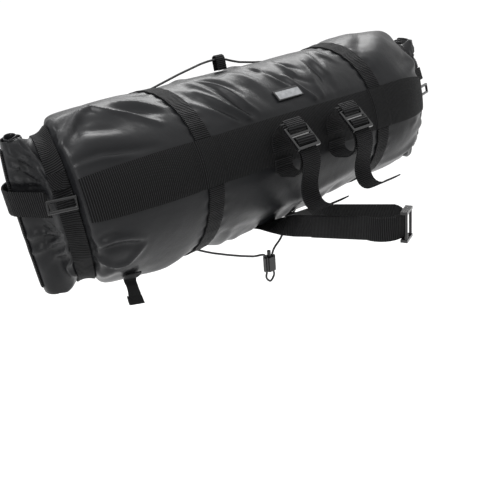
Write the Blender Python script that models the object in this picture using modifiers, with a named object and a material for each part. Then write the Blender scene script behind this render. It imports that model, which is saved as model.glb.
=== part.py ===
"""Bicycle handlebar bag: a rolled fabric tube with its straps, buckles and elastic cord.

Frame: the origin is the centre of the handlebar clamp, +X is the rider's right,
+Y points forward, away from the rider, and +Z is up. Lengths are metres.
"""

import bisect
import math

import bmesh
import bpy
from mathutils import Matrix, Vector

# Handlebar and steering column that the straps go round
BAR_DIAMETER = 0.0318
COLUMN_DIAMETER = 0.0412
COLUMN_Y = -0.075
COLUMN_STRAP_Z = -0.066
STEERER_TAIL_Y = 0.002

# Fabric tube
BAG_RADIUS = 0.091
BAG_AXIS_Y = 0.114
BAG_AXIS_Z = -0.0127
BAG_AXIS = Vector((0, BAG_AXIS_Y, BAG_AXIS_Z))
BODY_HALF = 0.240
END_LENGTH = 0.044
FABRIC_WALL = 0.0014
LIP_SLIT = 0.0008
ROLL_RADIUS = 0.017
ROLL_GAP = 0.0014
ROLL_TURNS = 2
ROLL_TOP_TUCK = 0.005
ROLL_STRAP_Z = 0.006
LEAN_LEFT = 0.15
LEAN_RIGHT = 0.03
SIDE_LEAN_LEFT = 0.36
SIDE_LEAN_RIGHT = -0.12

# Webbing
WEBBING_THICKNESS = 0.0014
BACK_STRIP_WIDTH = 0.050
STRIP_END_INSET = 0.003
BACK_STRIP_HALF = BODY_HALF - STRIP_END_INSET
BAND_WIDTH = 0.020
BAND_X = 0.131
STRAP_WIDTH = 0.025
LIP_WEBBING_ARC = 62.0
SEAT_GAP = 0.0009
LAYER_GAP = 0.0005

# Hardware
BUCKLE_WIDTH = 0.032
BUCKLE_THICKNESS = 0.004
BAR_STRAP_X = 0.042
SLIDER_BAR = 0.0030
SLIDER_INNER_BAR = 0.0010
SLIDER_LENGTH = 0.020
SLIDER_REACH = 0.0165

# Small pieces
TAB_WIDTH = 0.012
CORD_TAB_WIDTH = 0.0084
HANG_TAB_WIDTH = 0.016
HANG_TAB_X = -0.213
HANG_TAB_DROP = 0.028
PATCH_HALF = 0.019
PATCH_X = 0.001
CORD_TAB_THICKNESS = 0.0012
CORD_TAB_HALF_GAP = 0.0038
CORD_TAB_X = 0.1165
CORD_TAB_HEIGHT = 0.011
CENTRE_TAB_X = -0.027
CENTRE_TAB_HEIGHT = 0.018
CORD_DIAMETER = 0.0026

# Cord lock, with a hole for each of the cord's two runs and a button between them
LOCK_WIDTH = 0.0156
LOCK_DEPTH = 0.0105
LOCK_HEIGHT = 0.0175
LOCK_CENTRE = Vector((-0.0255, 0.070, -0.1445))
LOCK_HOLE_X = 0.0049
LOCK_HOLE_CLEARANCE = 0.0004
LOCK_BUTTON_RADIUS = 0.0023
LOCK_BUTTON_RISE = 0.007

# Mesh fineness
BODY_SEGMENTS = 28
ROLL_STEPS = 7

# Tube sections: along, rider, front, top, bottom.
# along: share of BODY_HALF, the rest: shares of BAG_RADIUS
SECTIONS = (
    (-1.00, 0.83, 0.90, 0.930, 0.97),
    (-0.89, 0.95, 0.97, 0.960, 1.03),
    (-0.74, 1.00, 1.00, 0.990, 1.04),
    (-0.53, 0.98, 0.97, 0.970, 1.02),
    (-0.28, 1.00, 1.00, 0.960, 1.01),
    (0.00, 1.00, 1.00, 0.980, 1.00),
    (0.27, 1.00, 1.00, 0.970, 0.96),
    (0.53, 0.98, 0.97, 1.020, 0.92),
    (0.75, 1.01, 1.00, 1.110, 0.91),
    (0.90, 0.93, 0.97, 1.070, 0.90),
    (1.00, 0.78, 0.90, 0.990, 0.88),
)

# Necks: along, shift, rider, front, top, bottom.
# along: share of END_LENGTH, shift: share of ROLL_RADIUS towards the rider,
# the rest: shares of BAG_RADIUS
NECK = (
    (0.06, 0.00, 0.740, 0.780, 0.890, 0.920),
    (0.13, 0.02, 0.640, 0.650, 0.820, 0.870),
    (0.35, 0.10, 0.582, 0.550, 0.785, 0.845),
    (0.56, 0.26, 0.520, 0.440, 0.800, 0.850),
    (0.62, 0.55, 0.430, 0.150, 0.820, 0.870),
    (0.68, 0.78, 0.310, 0.060, 0.840, 0.890),
    (0.77, 0.92, 0.170, 0.038, 0.855, 0.910),
    (0.87, 0.98, 0.062, 0.024, 0.865, 0.930),
    (1.00, 1.00, 0.000, 0.000, 0.870, 0.940),
)

# Folds and swells of the fabric: along, angle, slant, length, width, rise.
# along: share of BODY_HALF, angle: degrees round the tube from the rider's side upwards,
# slant: degrees from the tube's axis, the rest: shares of BAG_RADIUS
FOLDS = (
    (-0.80, 62, 8, 0.90, 0.16, -0.050),
    (-0.72, 84, 4, 0.70, 0.17, 0.030),
    (-0.86, 40, 70, 0.30, 0.16, 0.030),
    (-0.38, 72, -38, 0.55, 0.15, -0.035),
    (-0.28, 88, -38, 0.55, 0.15, 0.025),
    (-0.12, 66, -40, 0.50, 0.15, -0.032),
    (0.02, 84, -40, 0.50, 0.15, 0.025),
    (0.20, 68, -45, 0.50, 0.15, -0.035),
    (0.30, 92, -45, 0.45, 0.15, 0.025),
    (0.40, 66, -55, 0.40, 0.14, -0.025),
    (0.80, 62, 25, 0.55, 0.16, -0.030),
    (0.84, 84, 40, 0.45, 0.16, 0.030),
    (-0.78, -32, 20, 0.60, 0.17, -0.045),
    (-0.72, -52, 10, 0.60, 0.17, 0.030),
    (-0.30, -40, 15, 0.70, 0.17, -0.030),
    (0.25, -38, -12, 0.70, 0.17, -0.030),
    (0.78, -36, -20, 0.50, 0.17, -0.035),
    (-0.60, 150, 30, 0.60, 0.18, -0.035),
    (-0.15, 165, -20, 0.70, 0.18, -0.035),
    (0.35, 150, 25, 0.60, 0.18, -0.035),
    (0.78, 170, -30, 0.50, 0.18, -0.035),
    (-0.75, 205, -15, 0.60, 0.18, 0.030),
    (0.10, 200, 20, 0.70, 0.18, 0.030),
)

# Side views of the straps at the bar, (forward, up) in metres
BAR_STRAP_TO_BUCKLE = (
    (0.0180, -0.0155), (0.0130, -0.0190), (0.0060, -0.0184),
)
BAR_ANCHOR_RISE = ((0.0222, 0.0200), (0.0170, 0.0285))
BAR_STRAP_TAIL = (
    (-0.0188, 0.0098), (-0.0206, 0.0040), (-0.0204, -0.0060), (-0.0180, -0.0160),
    (-0.0160, -0.0260), (-0.0172, -0.0370), (-0.0225, -0.0450), (-0.0320, -0.0470),
    (-0.0450, -0.0410), (-0.0580, -0.0330),
)

# The elastic cord's route
CORD_ROUTE = (
    (-0.0304, 0.0700, -0.1440),
    (-0.0304, 0.0700, -0.1357),
    (-0.0340, 0.0700, -0.1312),
    (-0.0483, 0.0725, -0.1288),
    (-0.0800, 0.1040, -0.1225),
    (-0.1089, 0.1322, -0.1109),
    (-0.1170, 0.1306, -0.1101),
    (-0.1280, 0.1349, -0.1072),
    (-0.1309, 0.1545, -0.0994),
    (-0.1309, 0.1837, -0.0759),
    (-0.1309, 0.2017, -0.0424),
    (-0.1309, 0.2059, -0.0047),
    (-0.1309, 0.1954, 0.0305),
    (-0.1281, 0.1840, 0.0479),
    (-0.1172, 0.1823, 0.0528),
    (-0.1091, 0.1825, 0.0546),
    (-0.0510, 0.1345, 0.0862),
    (-0.0270, 0.1304, 0.0882),
    (0.0120, 0.1408, 0.0775),
    (0.1088, 0.1802, 0.0588),
    (0.1169, 0.1801, 0.0579),
    (0.1278, 0.1819, 0.0535),
    (0.1308, 0.1961, 0.0331),
    (0.1309, 0.2067, -0.0059),
    (0.1310, 0.2013, -0.0429),
    (0.1311, 0.1807, -0.0739),
    (0.1312, 0.1517, -0.0931),
    (0.1284, 0.1348, -0.0983),
    (0.1175, 0.1304, -0.1019),
    (0.1094, 0.1294, -0.1038),
    (0.0449, 0.1020, -0.1150),
    (-0.0040, 0.0720, -0.1215),
    (-0.0170, 0.0700, -0.1290),
    (-0.0206, 0.0700, -0.1357),
    (-0.0206, 0.0700, -0.1535),
    (-0.0193, 0.0700, -0.1610),
    (-0.0255, 0.0700, -0.1672),
    (-0.0317, 0.0700, -0.1610),
    (-0.0304, 0.0700, -0.1535),
    (-0.0304, 0.0700, -0.1456),
)
CORD_TURN = math.radians(26)

BLACK_FABRIC = ("coated_fabric", (0.020, 0.021, 0.023), 0.42, 0.0)
BLACK_WEBBING = ("webbing", (0.012, 0.012, 0.013), 0.75, 0.0)
BLACK_PLASTIC = ("gloss_plastic", (0.008, 0.008, 0.009), 0.22, 0.0)
GREY_PATCH = ("grey_patch", (0.42, 0.43, 0.44), 0.6, 0.0)
BLACK_CORD = ("elastic", (0.015, 0.015, 0.016), 0.7, 0.0)


def clear_scene():
    """Remove the objects that the scene starts with."""
    for thing in list(bpy.data.objects):
        bpy.data.objects.remove(thing, do_unlink=True)


def collection(name):
    """A named collection of the scene."""
    made = bpy.data.collections.new(name)
    bpy.context.scene.collection.children.link(made)
    return made


def material(look):
    """The Principled material of a look, made once."""
    name, colour, roughness, metallic = look
    made = bpy.data.materials.get(name)
    if made is None:
        made = bpy.data.materials.new(name)
        made.use_nodes = True
        shader = made.node_tree.nodes["Principled BSDF"]
        shader.inputs["Base Color"].default_value = (*colour, 1.0)
        shader.inputs["Roughness"].default_value = roughness
        shader.inputs["Metallic"].default_value = metallic
    return made


def add_object(name, mesh, look, smooth_angle=35.0):
    """Put a mesh in the bag's collection as a named, shaded object."""
    mesh.materials.append(material(look))
    mesh.shade_smooth()
    mesh.set_sharp_from_angle(angle=math.radians(smooth_angle))
    made = bpy.data.objects.new(name, mesh)
    bpy.data.collections["handlebar_bag"].objects.link(made)
    return made


def strip_faces(count_a, start_a, count_b, start_b, ring):
    """Faces between two rows of points, where the second may have half as many."""
    step = count_a // count_b
    spans = count_b if ring else count_b - 1
    faces = []
    for j in range(spans):
        b0 = start_b + j
        b1 = start_b + (j + 1) % count_b
        fine = [start_a + (j * step + k) % count_a for k in range(step + 1)]
        if step == 1:
            faces.append((fine[0], fine[1], b1, b0))
        else:
            faces.append((fine[0], fine[1], b0))
            faces.append((fine[1], b1, b0))
            faces.append((fine[1], fine[2], b1))
    return faces


def turn_outward(mesh, inside):
    """Point a surface's faces away from an inner line along X or Z through a point."""
    facing = 0.0
    for face in mesh.polygons:
        away = face.center - inside
        away.x = away.x if inside.x else 0.0
        away.z = 0.0 if inside.x else away.z
        facing += face.area * face.normal.dot(away)
    if facing < 0:
        mesh.flip_normals()


def loft(name, rows, look, ring=False, closed=False, inside=BAG_AXIS):
    """A surface through rows of points. ring: each row is a loop. closed: rows meet end to end."""
    starts = []
    points = []
    for row in rows:
        starts.append(len(points))
        points.extend(row)
    faces = []
    last = len(rows) if closed else len(rows) - 1
    for i in range(last):
        k = (i + 1) % len(rows)
        if len(rows[i]) >= len(rows[k]):
            faces += strip_faces(len(rows[i]), starts[i], len(rows[k]), starts[k], ring)
        else:
            turned = strip_faces(len(rows[k]), starts[k], len(rows[i]), starts[i], ring)
            faces += [tuple(reversed(face)) for face in turned]
    mesh = bpy.data.meshes.new(name)
    mesh.from_pydata([tuple(point) for point in points], [], faces)
    mesh.validate()
    turn_outward(mesh, inside)
    return add_object(name, mesh, look)


def thicken(made, thickness, offset):
    """Give a surface its thickness. offset 1 grows along its normals, -1 against, 0 both ways."""
    modifier = made.modifiers.new("thickness", "SOLIDIFY")
    modifier.thickness = thickness
    modifier.offset = offset
    return made


def smooth_route(points, count):
    """Evenly spaced points on a smooth curve through a few chosen ones."""
    knots = [Vector(point) for point in points]
    padded = [2 * knots[0] - knots[1]] + knots + [2 * knots[-1] - knots[-2]]
    fine = []
    for i in range(1, len(padded) - 2):
        p0, p1, p2, p3 = padded[i - 1:i + 3]
        for k in range(12):
            t = k / 12
            fine.append(0.5 * (2 * p1 + (p2 - p0) * t + (2 * p0 - 5 * p1 + 4 * p2 - p3) * t * t
                               + (3 * p1 - p0 - 3 * p2 + p3) * t ** 3))
    fine.append(knots[-1])
    along = [0.0]
    for a, b in zip(fine, fine[1:]):
        along.append(along[-1] + (b - a).length)
    even = []
    for k in range(count):
        target = along[-1] * k / (count - 1)
        i = min(max(bisect.bisect_right(along, target) - 1, 0), len(fine) - 2)
        share = (target - along[i]) / (along[i + 1] - along[i])
        even.append(fine[i].lerp(fine[i + 1], share))
    return even


def ribbon(name, route, across, look=BLACK_WEBBING, thickness=WEBBING_THICKNESS):
    """A flat strap along a route, with the half-width vector at each of its points."""
    rows = [(point - half, point + half) for point, half in zip(route, across)]
    return thicken(loft(name, rows, look), thickness, 0)


def level_ribbon(name, side_view, x, width, look=BLACK_WEBBING):
    """A strap whose side view is a list of (forward, up) pairs and whose width lies along X."""
    route = [Vector((x, point[0], point[1])) for point in side_view]
    return ribbon(name, route, [Vector((width / 2, 0, 0))] * len(route), look)


def ramp(value, low, high):
    """0 below low, 1 above high, smooth between."""
    t = min(max((value - low) / (high - low), 0.0), 1.0)
    return t * t * (3 - 2 * t)


def table_value(rows, column, at):
    """A table's column, straight between its rows."""
    places = [row[0] for row in rows]
    i = min(max(bisect.bisect_right(places, at) - 1, 0), len(rows) - 2)
    share = min(max((at - places[i]) / (places[i + 1] - places[i]), 0.0), 1.0)
    return rows[i][column] * (1 - share) + rows[i + 1][column] * share


def section_value(column, along):
    """A section column, with the corners at its rows rounded off."""
    spread = (-0.06, -0.03, 0.0, 0.03, 0.06)
    return sum(table_value(SECTIONS, column, along + d) for d in spread) / len(spread)


def sheet_half():
    """Half the thickness of the flattened lip: two walls and half the slit."""
    return FABRIC_WALL + LIP_SLIT / 2


def profile(x):
    """The tube's shift to the rider and its four half sizes at x."""
    side = 1 if x >= 0 else -1
    beyond = abs(x) - BODY_HALF
    if beyond <= 0:
        sizes = [section_value(column, x / BODY_HALF) * BAG_RADIUS for column in range(1, 5)]
        return [0.0] + sizes
    corner = [0.0, 0.0] + [section_value(column, side) for column in range(1, 5)]
    rows = [corner] + list(NECK)
    values = [table_value(rows, column, beyond / END_LENGTH) for column in range(1, 6)]
    sizes = [max(value * BAG_RADIUS, sheet_half()) for value in values[1:]]
    return [values[0] * ROLL_RADIUS] + sizes


def fold_rise(x, angle):
    """How far the folds lift or sink the fabric at a place on the tube."""
    rise = 0.0
    for along, centre, slant, length, width, height in FOLDS:
        dx = x - along * BODY_HALF
        turn = (angle - centre + 180) % 360 - 180
        dv = math.radians(turn) * BAG_RADIUS
        c = math.cos(math.radians(slant))
        s = math.sin(math.radians(slant))
        u = (dx * c + dv * s) / (length * BAG_RADIUS / 2)
        v = (dv * c - dx * s) / (width * BAG_RADIUS)
        rise += height * BAG_RADIUS * math.exp(-u * u - v * v)
    strip = abs((angle - 17 + 180) % 360 - 180)
    calm = ramp(strip, 19, 34) * ramp(abs(abs(x) - BAND_X), 0.011, 0.030)
    pinch = -0.020 * BAG_RADIUS * math.exp(-((abs(x) - BAND_X) / 0.020) ** 2)
    return rise * calm * (1 - ramp(abs(x), 0.90 * BODY_HALF, BODY_HALF)) + pinch


def lean(point):
    """Skew the bag's ends: their tops reach further out, and so does the left's rider's side."""
    upward = LEAN_RIGHT if point.x > 0 else LEAN_LEFT
    sideways = SIDE_LEAN_RIGHT if point.x > 0 else SIDE_LEAN_LEFT
    out = upward * (point.z - BAG_AXIS_Z) + sideways * (BAG_AXIS_Y - point.y)
    reach = math.copysign(1.0, point.x) * out
    return point + Vector((reach * ramp(abs(point.x), 0.72 * BODY_HALF, 1.02 * BODY_HALF), 0, 0))


def unlifted(x, angle):
    """The point of the tube's outer surface at x and an angle from the rider's side."""
    shift, rider, front, top, bottom = profile(x)
    c = math.cos(math.radians(angle))
    s = math.sin(math.radians(angle))
    rise = fold_rise(x, angle)
    depth = (rider if c > 0 else front) + rise
    height = (top if s > 0 else bottom) + rise
    if abs(x) > BODY_HALF:
        c = math.copysign(abs(c) ** flatness(abs(x)), c)
    return lean(Vector((x, BAG_AXIS_Y - shift - depth * c, BAG_AXIS_Z + height * s)))


def flatness(reach):
    """The power that squares off a flattened section, 1 where the tube is round."""
    return 1 - 0.6 * ramp((reach - BODY_HALF) / END_LENGTH, 0.55, 1.0)


def skin(x, angle, lift=0.0):
    """A point raised off the tube's outer surface."""
    point = unlifted(x, angle)
    if lift == 0:
        return point
    step = 0.002
    along = unlifted(x + step, angle) - unlifted(x - step, angle)
    around = unlifted(x, angle + 1) - unlifted(x, angle - 1)
    normal = around.cross(along).normalized()
    outward = Vector((0, point.y - BAG_AXIS_Y, point.z - BAG_AXIS_Z))
    return point + normal * math.copysign(lift, normal.dot(outward))


def body_stations():
    """Where the round part of the tube has a ring of points."""
    edge = BAND_WIDTH / 2 + 0.003
    half = [i * (BAND_X - edge) / 4 for i in range(4)]
    half += [BAND_X - edge, BAND_X, BAND_X + edge]
    outer = BODY_HALF - BAND_X - edge
    half += [BAND_X + edge + i * outer / 4 for i in range(1, 5)]
    return [-x for x in reversed(half[1:])] + half


def roll_point(side, turn, inward, up):
    """A point of the rolled end: turns from its start, distance towards the centre, height."""
    angle = math.radians(360 * turn - 90)
    pitch = 2 * sheet_half() + ROLL_GAP
    radius = ROLL_RADIUS - pitch * turn - inward
    tuck = ROLL_TOP_TUCK * ramp(up, 0.33 * BAG_RADIUS, 0.82 * BAG_RADIUS) * max(math.cos(angle), 0.0)
    x = BODY_HALF + END_LENGTH + radius * math.cos(angle) - tuck
    return lean(Vector((side * x, BAG_AXIS_Y + radius * math.sin(angle), BAG_AXIS_Z + up)))


def roll_ring(side, turn):
    """One flattened ring of the rolled end."""
    count = BODY_SEGMENTS // 2
    ring = []
    for k in range(count):
        c = math.cos(2 * math.pi * k / count)
        s = math.sin(2 * math.pi * k / count)
        inward = -math.copysign(abs(c) ** flatness(BODY_HALF + END_LENGTH), c) * sheet_half()
        height = NECK[-1][4] if s > 0 else NECK[-1][5]
        up = height * BAG_RADIUS * s * (1 - 0.02 * math.sin(math.pi * turn))
        ring.append(roll_point(side, turn, inward, up))
    return ring


def end_rings(side):
    """The rings of one neck and roll, from the tube outwards."""
    rings = []
    for row in NECK:
        x = side * (BODY_HALF + row[0] * END_LENGTH)
        count = BODY_SEGMENTS if row[0] < 0.9 else BODY_SEGMENTS // 2
        rings.append([skin(x, 360 * k / count) for k in range(count)])
    for i in range(1, ROLL_TURNS * ROLL_STEPS + 1):
        rings.append(roll_ring(side, i / ROLL_STEPS))
    return rings


def make_body():
    """The fabric tube with both rolled ends, open inside from lip to lip."""
    rings = [[skin(x, 360 * k / BODY_SEGMENTS) for k in range(BODY_SEGMENTS)]
             for x in body_stations()]
    rings = list(reversed(end_rings(-1))) + rings + end_rings(1)
    return thicken(loft("bag_body", rings, BLACK_FABRIC, ring=True), FABRIC_WALL, -1)


def make_back_strip():
    """The wide webbing along the rider's side, which steps over both bands."""
    across = math.degrees(BACK_STRIP_WIDTH / BAG_RADIUS)
    low = 1.2
    edge = BAND_WIDTH / 2
    xs = {-BACK_STRIP_HALF, BACK_STRIP_HALF}
    for x in body_stations():
        if abs(x) < BACK_STRIP_HALF - 0.004 and abs(abs(x) - BAND_X) > edge + 0.004:
            xs.add(x)
    for side in (-1, 1):
        xs |= {side * BAND_X + d for d in (-edge - 0.004, -edge - 0.001, edge + 0.001, edge + 0.004)}
    rows = []
    for x in sorted(xs):
        over = ramp(edge + 0.0025 - abs(abs(x) - BAND_X), 0.0, 0.001)
        lift = SEAT_GAP + over * (WEBBING_THICKNESS + LAYER_GAP)
        rows.append([skin(x, low + across * k / 3, lift) for k in range(4)])
    return thicken(loft("back_strip", rows, BLACK_WEBBING), WEBBING_THICKNESS, 1)


def make_band(name, x):
    """A webbing band round the tube."""
    rows = []
    for k in range(BODY_SEGMENTS):
        angle = 360 * k / BODY_SEGMENTS
        rows.append([skin(x + d * BAND_WIDTH / 2, angle, SEAT_GAP) for d in (-1, 1)])
    return thicken(loft(name, rows, BLACK_WEBBING, closed=True), WEBBING_THICKNESS, 1)


def patch_on_skin(name, xs, angles, lift, thickness, look=BLACK_WEBBING, closed=False):
    """A flat piece that lies on the tube between two distances and two angles."""
    rows = [[skin(x, angle, lift) for x in xs] for angle in angles]
    return thicken(loft(name, rows, look, closed=closed), thickness, 1)


def neck_stations(side):
    """Where a closure strap has its rows, on the neck's own rings."""
    shares = (0.13, 0.35, 0.56)
    return [side * (BODY_HALF + share * END_LENGTH) for share in shares]


def raised_row(xs, angle, lift, more):
    """A row of points raised off the tube, then all raised again square to their own row."""
    row = [skin(x, angle, lift) for x in xs]
    around = skin(xs[1], angle + 4, lift) - skin(xs[1], angle - 4, lift)
    out = (row[-1] - row[0]).cross(around).normalized()
    outward = Vector((0, row[1].y - BAG_AXIS_Y, row[1].z - BAG_AXIS_Z))
    return [point + out * math.copysign(more, out.dot(outward)) for point in row]


def make_closure(side, tag):
    """The strap round one neck, its doubled tail and its slider."""
    xs = sorted(neck_stations(side))
    angles = [360 * k / BODY_SEGMENTS for k in range(BODY_SEGMENTS)]
    lift = SEAT_GAP + 0.0004
    patch_on_skin("closure_strap_" + tag, xs, angles, lift, WEBBING_THICKNESS, closed=True)
    second = WEBBING_THICKNESS + LAYER_GAP + 0.0004
    rows = [raised_row(xs, angle, lift, second) for angle in angles[2:4]]
    thicken(loft("closure_tail_" + tag, rows, BLACK_WEBBING), WEBBING_THICKNESS, 1)
    low, _, high = raised_row(xs, 15, lift, second)
    along = (high - low).normalized()
    middle = (low + high) / 2
    up = (skin(xs[1], 20, lift) - skin(xs[1], 10, lift)).normalized()
    up = (up - along * up.dot(along)).normalized()
    out = along.cross(up)
    if out.y > 0:
        out = -out
    outward = along * math.copysign(0.0035, side * along.x)
    centre = middle + out * SLIDER_BAR / 2 + outward
    frame_on("closure_slider_" + tag, centre, along, up, STRAP_WIDTH + 0.003, 0.013)


def box_between(bm, low, high):
    """Add a box with two given corners."""
    made = bmesh.ops.create_cube(bm, size=1.0)
    size = high - low
    bmesh.ops.scale(bm, vec=size, verts=made["verts"])
    bmesh.ops.translate(bm, vec=(low + high) / 2, verts=made["verts"])


def frame_mesh(name, width, length, thickness, bars, rail):
    """A flat frame of crossbars between two rails: bars are (start, end) along its length."""
    bm = bmesh.new()
    box_between(bm, Vector((-width / 2, 0, -thickness / 2)), Vector((width / 2, length, thickness / 2)))
    mesh = bpy.data.meshes.new(name)
    bm.to_mesh(mesh)
    bm.free()
    slots = []
    for (_, low), (high, _) in zip(bars, bars[1:]):
        cut = bmesh.new()
        box_between(cut, Vector((-width / 2 + rail, low, -thickness)),
                    Vector((width / 2 - rail, high, thickness)))
        slot = bpy.data.meshes.new(name + "_slot")
        cut.to_mesh(slot)
        cut.free()
        slots.append(slot)
    return mesh, slots


def make_frame(name, placing, width, length, thickness, bars, rail):
    """A plastic buckle: a rounded plate with a slot between each two crossbars."""
    mesh, slots = frame_mesh(name, width, length, thickness, bars, rail)
    made = add_object(name, mesh, BLACK_PLASTIC)
    made.matrix_world = placing
    for i, slot in enumerate(slots):
        cutter = bpy.data.objects.new("%s_slot_%d" % (name, i), slot)
        bpy.data.collections["cutters"].objects.link(cutter)
        cutter.matrix_world = placing
        cutter.hide_render = True
        cutter.display_type = "WIRE"
        cut = made.modifiers.new("slot_%d" % i, "BOOLEAN")
        cut.operation = "DIFFERENCE"
        cut.object = cutter
    rounding = made.modifiers.new("rounding", "BEVEL")
    rounding.width = min(thickness, rail) * 0.28
    rounding.segments = 1
    return made


def placed(origin, x_axis, y_axis):
    """A placing whose local X and Y point along two given directions."""
    z_axis = x_axis.cross(y_axis)
    turned = Matrix((x_axis, y_axis, z_axis)).transposed().to_4x4()
    return Matrix.Translation(origin) @ turned


def frame_on(name, centre, along, up, width, length):
    """A small two-bar slider centred on a point, its bars along one direction."""
    spans = ((0, SLIDER_BAR), (length - SLIDER_BAR, length))
    origin = centre - up * length / 2
    return make_frame(name, placed(origin, along, up), width, length, SLIDER_BAR, spans, 0.0022)


def make_roll_strap(side, tag):
    """The strap that runs over the roll, level with the back strip."""
    reach = ROLL_RADIUS + sheet_half() + SEAT_GAP + WEBBING_THICKNESS + LAYER_GAP
    start = BODY_HALF + 0.66 * END_LENGTH
    centre_x = BODY_HALF + END_LENGTH
    edges = []
    for level in (-1, 0, 1):
        z = ROLL_STRAP_Z + level * STRAP_WIDTH / 2
        angle = math.degrees(math.asin((z - BAG_AXIS_Z) / (NECK[5][4] * BAG_RADIUS)))
        outer = reach + WEBBING_THICKNESS / 2
        arc = []
        for k in range(8):
            turn = math.radians(-48 + 188 * k / 7)
            arc.append(lean(Vector((side * (centre_x + outer * math.cos(turn)),
                                    BAG_AXIS_Y + outer * math.sin(turn), z))))
        low = skin(side * start, angle, 0.0022)
        taut = [low.lerp(arc[0], k / 3) for k in range(3)]
        edges.append(smooth_route(taut + arc, 18))
    core = Vector((side * centre_x, BAG_AXIS_Y, 0))
    made = loft("roll_strap_" + tag, list(zip(*edges)), BLACK_WEBBING, inside=core)
    return thicken(made, WEBBING_THICKNESS, 0)


def make_lip_webbing(side, tag):
    """The stiff webbing on the roll's outer face."""
    lift = sheet_half() + SEAT_GAP
    low = -0.90 * NECK[-1][5] * BAG_RADIUS
    high = 0.88 * NECK[-1][4] * BAG_RADIUS
    rows = []
    for k in range(7):
        up = low + (high - low) * k / 6
        turns = [(90 - LIP_WEBBING_ARC / 2 + LIP_WEBBING_ARC * j / 3) / 360 for j in range(4)]
        rows.append([roll_point(side, turn, -lift, up) for turn in turns])
    core = Vector((side * (BODY_HALF + END_LENGTH), BAG_AXIS_Y, 0))
    return thicken(loft("lip_webbing_" + tag, rows, BLACK_WEBBING, inside=core), WEBBING_THICKNESS, 1)


def buckle_placing(x):
    """The bar buckle's place: its length runs back and down over the top of the bar."""
    down = Vector((0, -0.745, -0.667)).normalized()
    return placed(Vector((x, 0.0016, 0.0325)), Vector((-1, 0, 0)), down)


BUCKLE_BARS = ((0.0, 0.0032), (0.0080, 0.0110), (0.0156, 0.0192), (0.0240, 0.0275))


def make_bar_fastening(side, tag):
    """One handlebar strap with its anchor webbing and buckle."""
    x = side * BAR_STRAP_X
    placing = buckle_placing(x)
    make_frame("bar_buckle_" + tag, placing, BUCKLE_WIDTH, BUCKLE_BARS[-1][1], BUCKLE_THICKNESS,
               BUCKLE_BARS, 0.0027)
    out = BUCKLE_THICKNESS / 2 + 0.0004 + WEBBING_THICKNESS / 2

    def at(share, height):
        point = placing @ Vector((0, share, height))
        return (point.y, point.z)

    wrap = BAR_DIAMETER / 2 + 0.0005 + WEBBING_THICKNESS / 2
    arc = [(wrap * math.cos(math.radians(a)), wrap * math.sin(math.radians(a)))
           for a in (-95, -115, -140, -165, -185, -200)]
    under = [at(0.0270, -out - 0.0026), at(0.0200, -out - 0.0022), at(0.0150, -out - 0.0004)]
    over = [at(0.0133, -0.0010), at(0.0136, 0.0022), at(0.0174, out + 0.0002),
            at(0.0212, 0.0022), at(0.0216, -0.0010), at(0.0245, -out)]
    lift = SEAT_GAP + WEBBING_THICKNESS + LAYER_GAP + WEBBING_THICKNESS / 2
    seat = [skin(x, angle, lift) for angle in (6.0, 2.0, -1.0)]
    knots = [(p.y, p.z) for p in seat] + list(BAR_STRAP_TO_BUCKLE) + arc + under + over
    knots += [at(0.0278, -out - 0.0003)] + list(BAR_STRAP_TAIL)
    route = smooth_route([(0, y, z) for y, z in knots], 52)
    level_ribbon("bar_strap_" + tag, [(p.y, p.z) for p in route], x, STRAP_WIDTH)

    seat = [skin(x, angle, lift) for angle in (10.0, 13.0, 16.0)]
    seat += [Vector((x, point[0], point[1])) for point in BAR_ANCHOR_RISE]
    loop = [at(-0.0080, -out), at(-0.0010, -out), at(0.0040, -out + 0.0002), at(0.0056, -0.0006),
            at(0.0054, 0.0016), at(0.0030, out), at(-0.0030, out), at(-0.0085, out - 0.0006)]
    knots = [(p.y, p.z) for p in seat] + loop
    route = smooth_route([(0, y, z) for y, z in knots], 26)
    level_ribbon("bar_anchor_" + tag, [(p.y, p.z) for p in route], x, STRAP_WIDTH)


def column_route(radius, start_y, slope):
    """The loop round the column: along its left side, behind it and along its right side."""
    side = []
    for k in range(5):
        y = start_y + (COLUMN_Y - start_y) * k / 5
        side.append(Vector((-radius, y, COLUMN_STRAP_Z + slope * (y - COLUMN_Y))))
    behind = []
    for k in range(13):
        angle = math.radians(180 + 15 * k)
        behind.append(Vector((radius * math.cos(angle), COLUMN_Y + radius * math.sin(angle),
                              COLUMN_STRAP_Z)))
    return side + behind + [Vector((-p.x, p.y, p.z)) for p in reversed(side)]


def steerer_fall():
    """The angle at which the column strap falls to meet the bag's underside as a tangent."""
    ahead = BAG_AXIS_Y - COLUMN_Y
    above = BAG_AXIS_Z - COLUMN_STRAP_Z
    reach = BAG_RADIUS + SEAT_GAP + WEBBING_THICKNESS / 2 + 0.0003
    return math.asin(reach / math.hypot(ahead, above)) - math.atan2(above, ahead)


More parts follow.
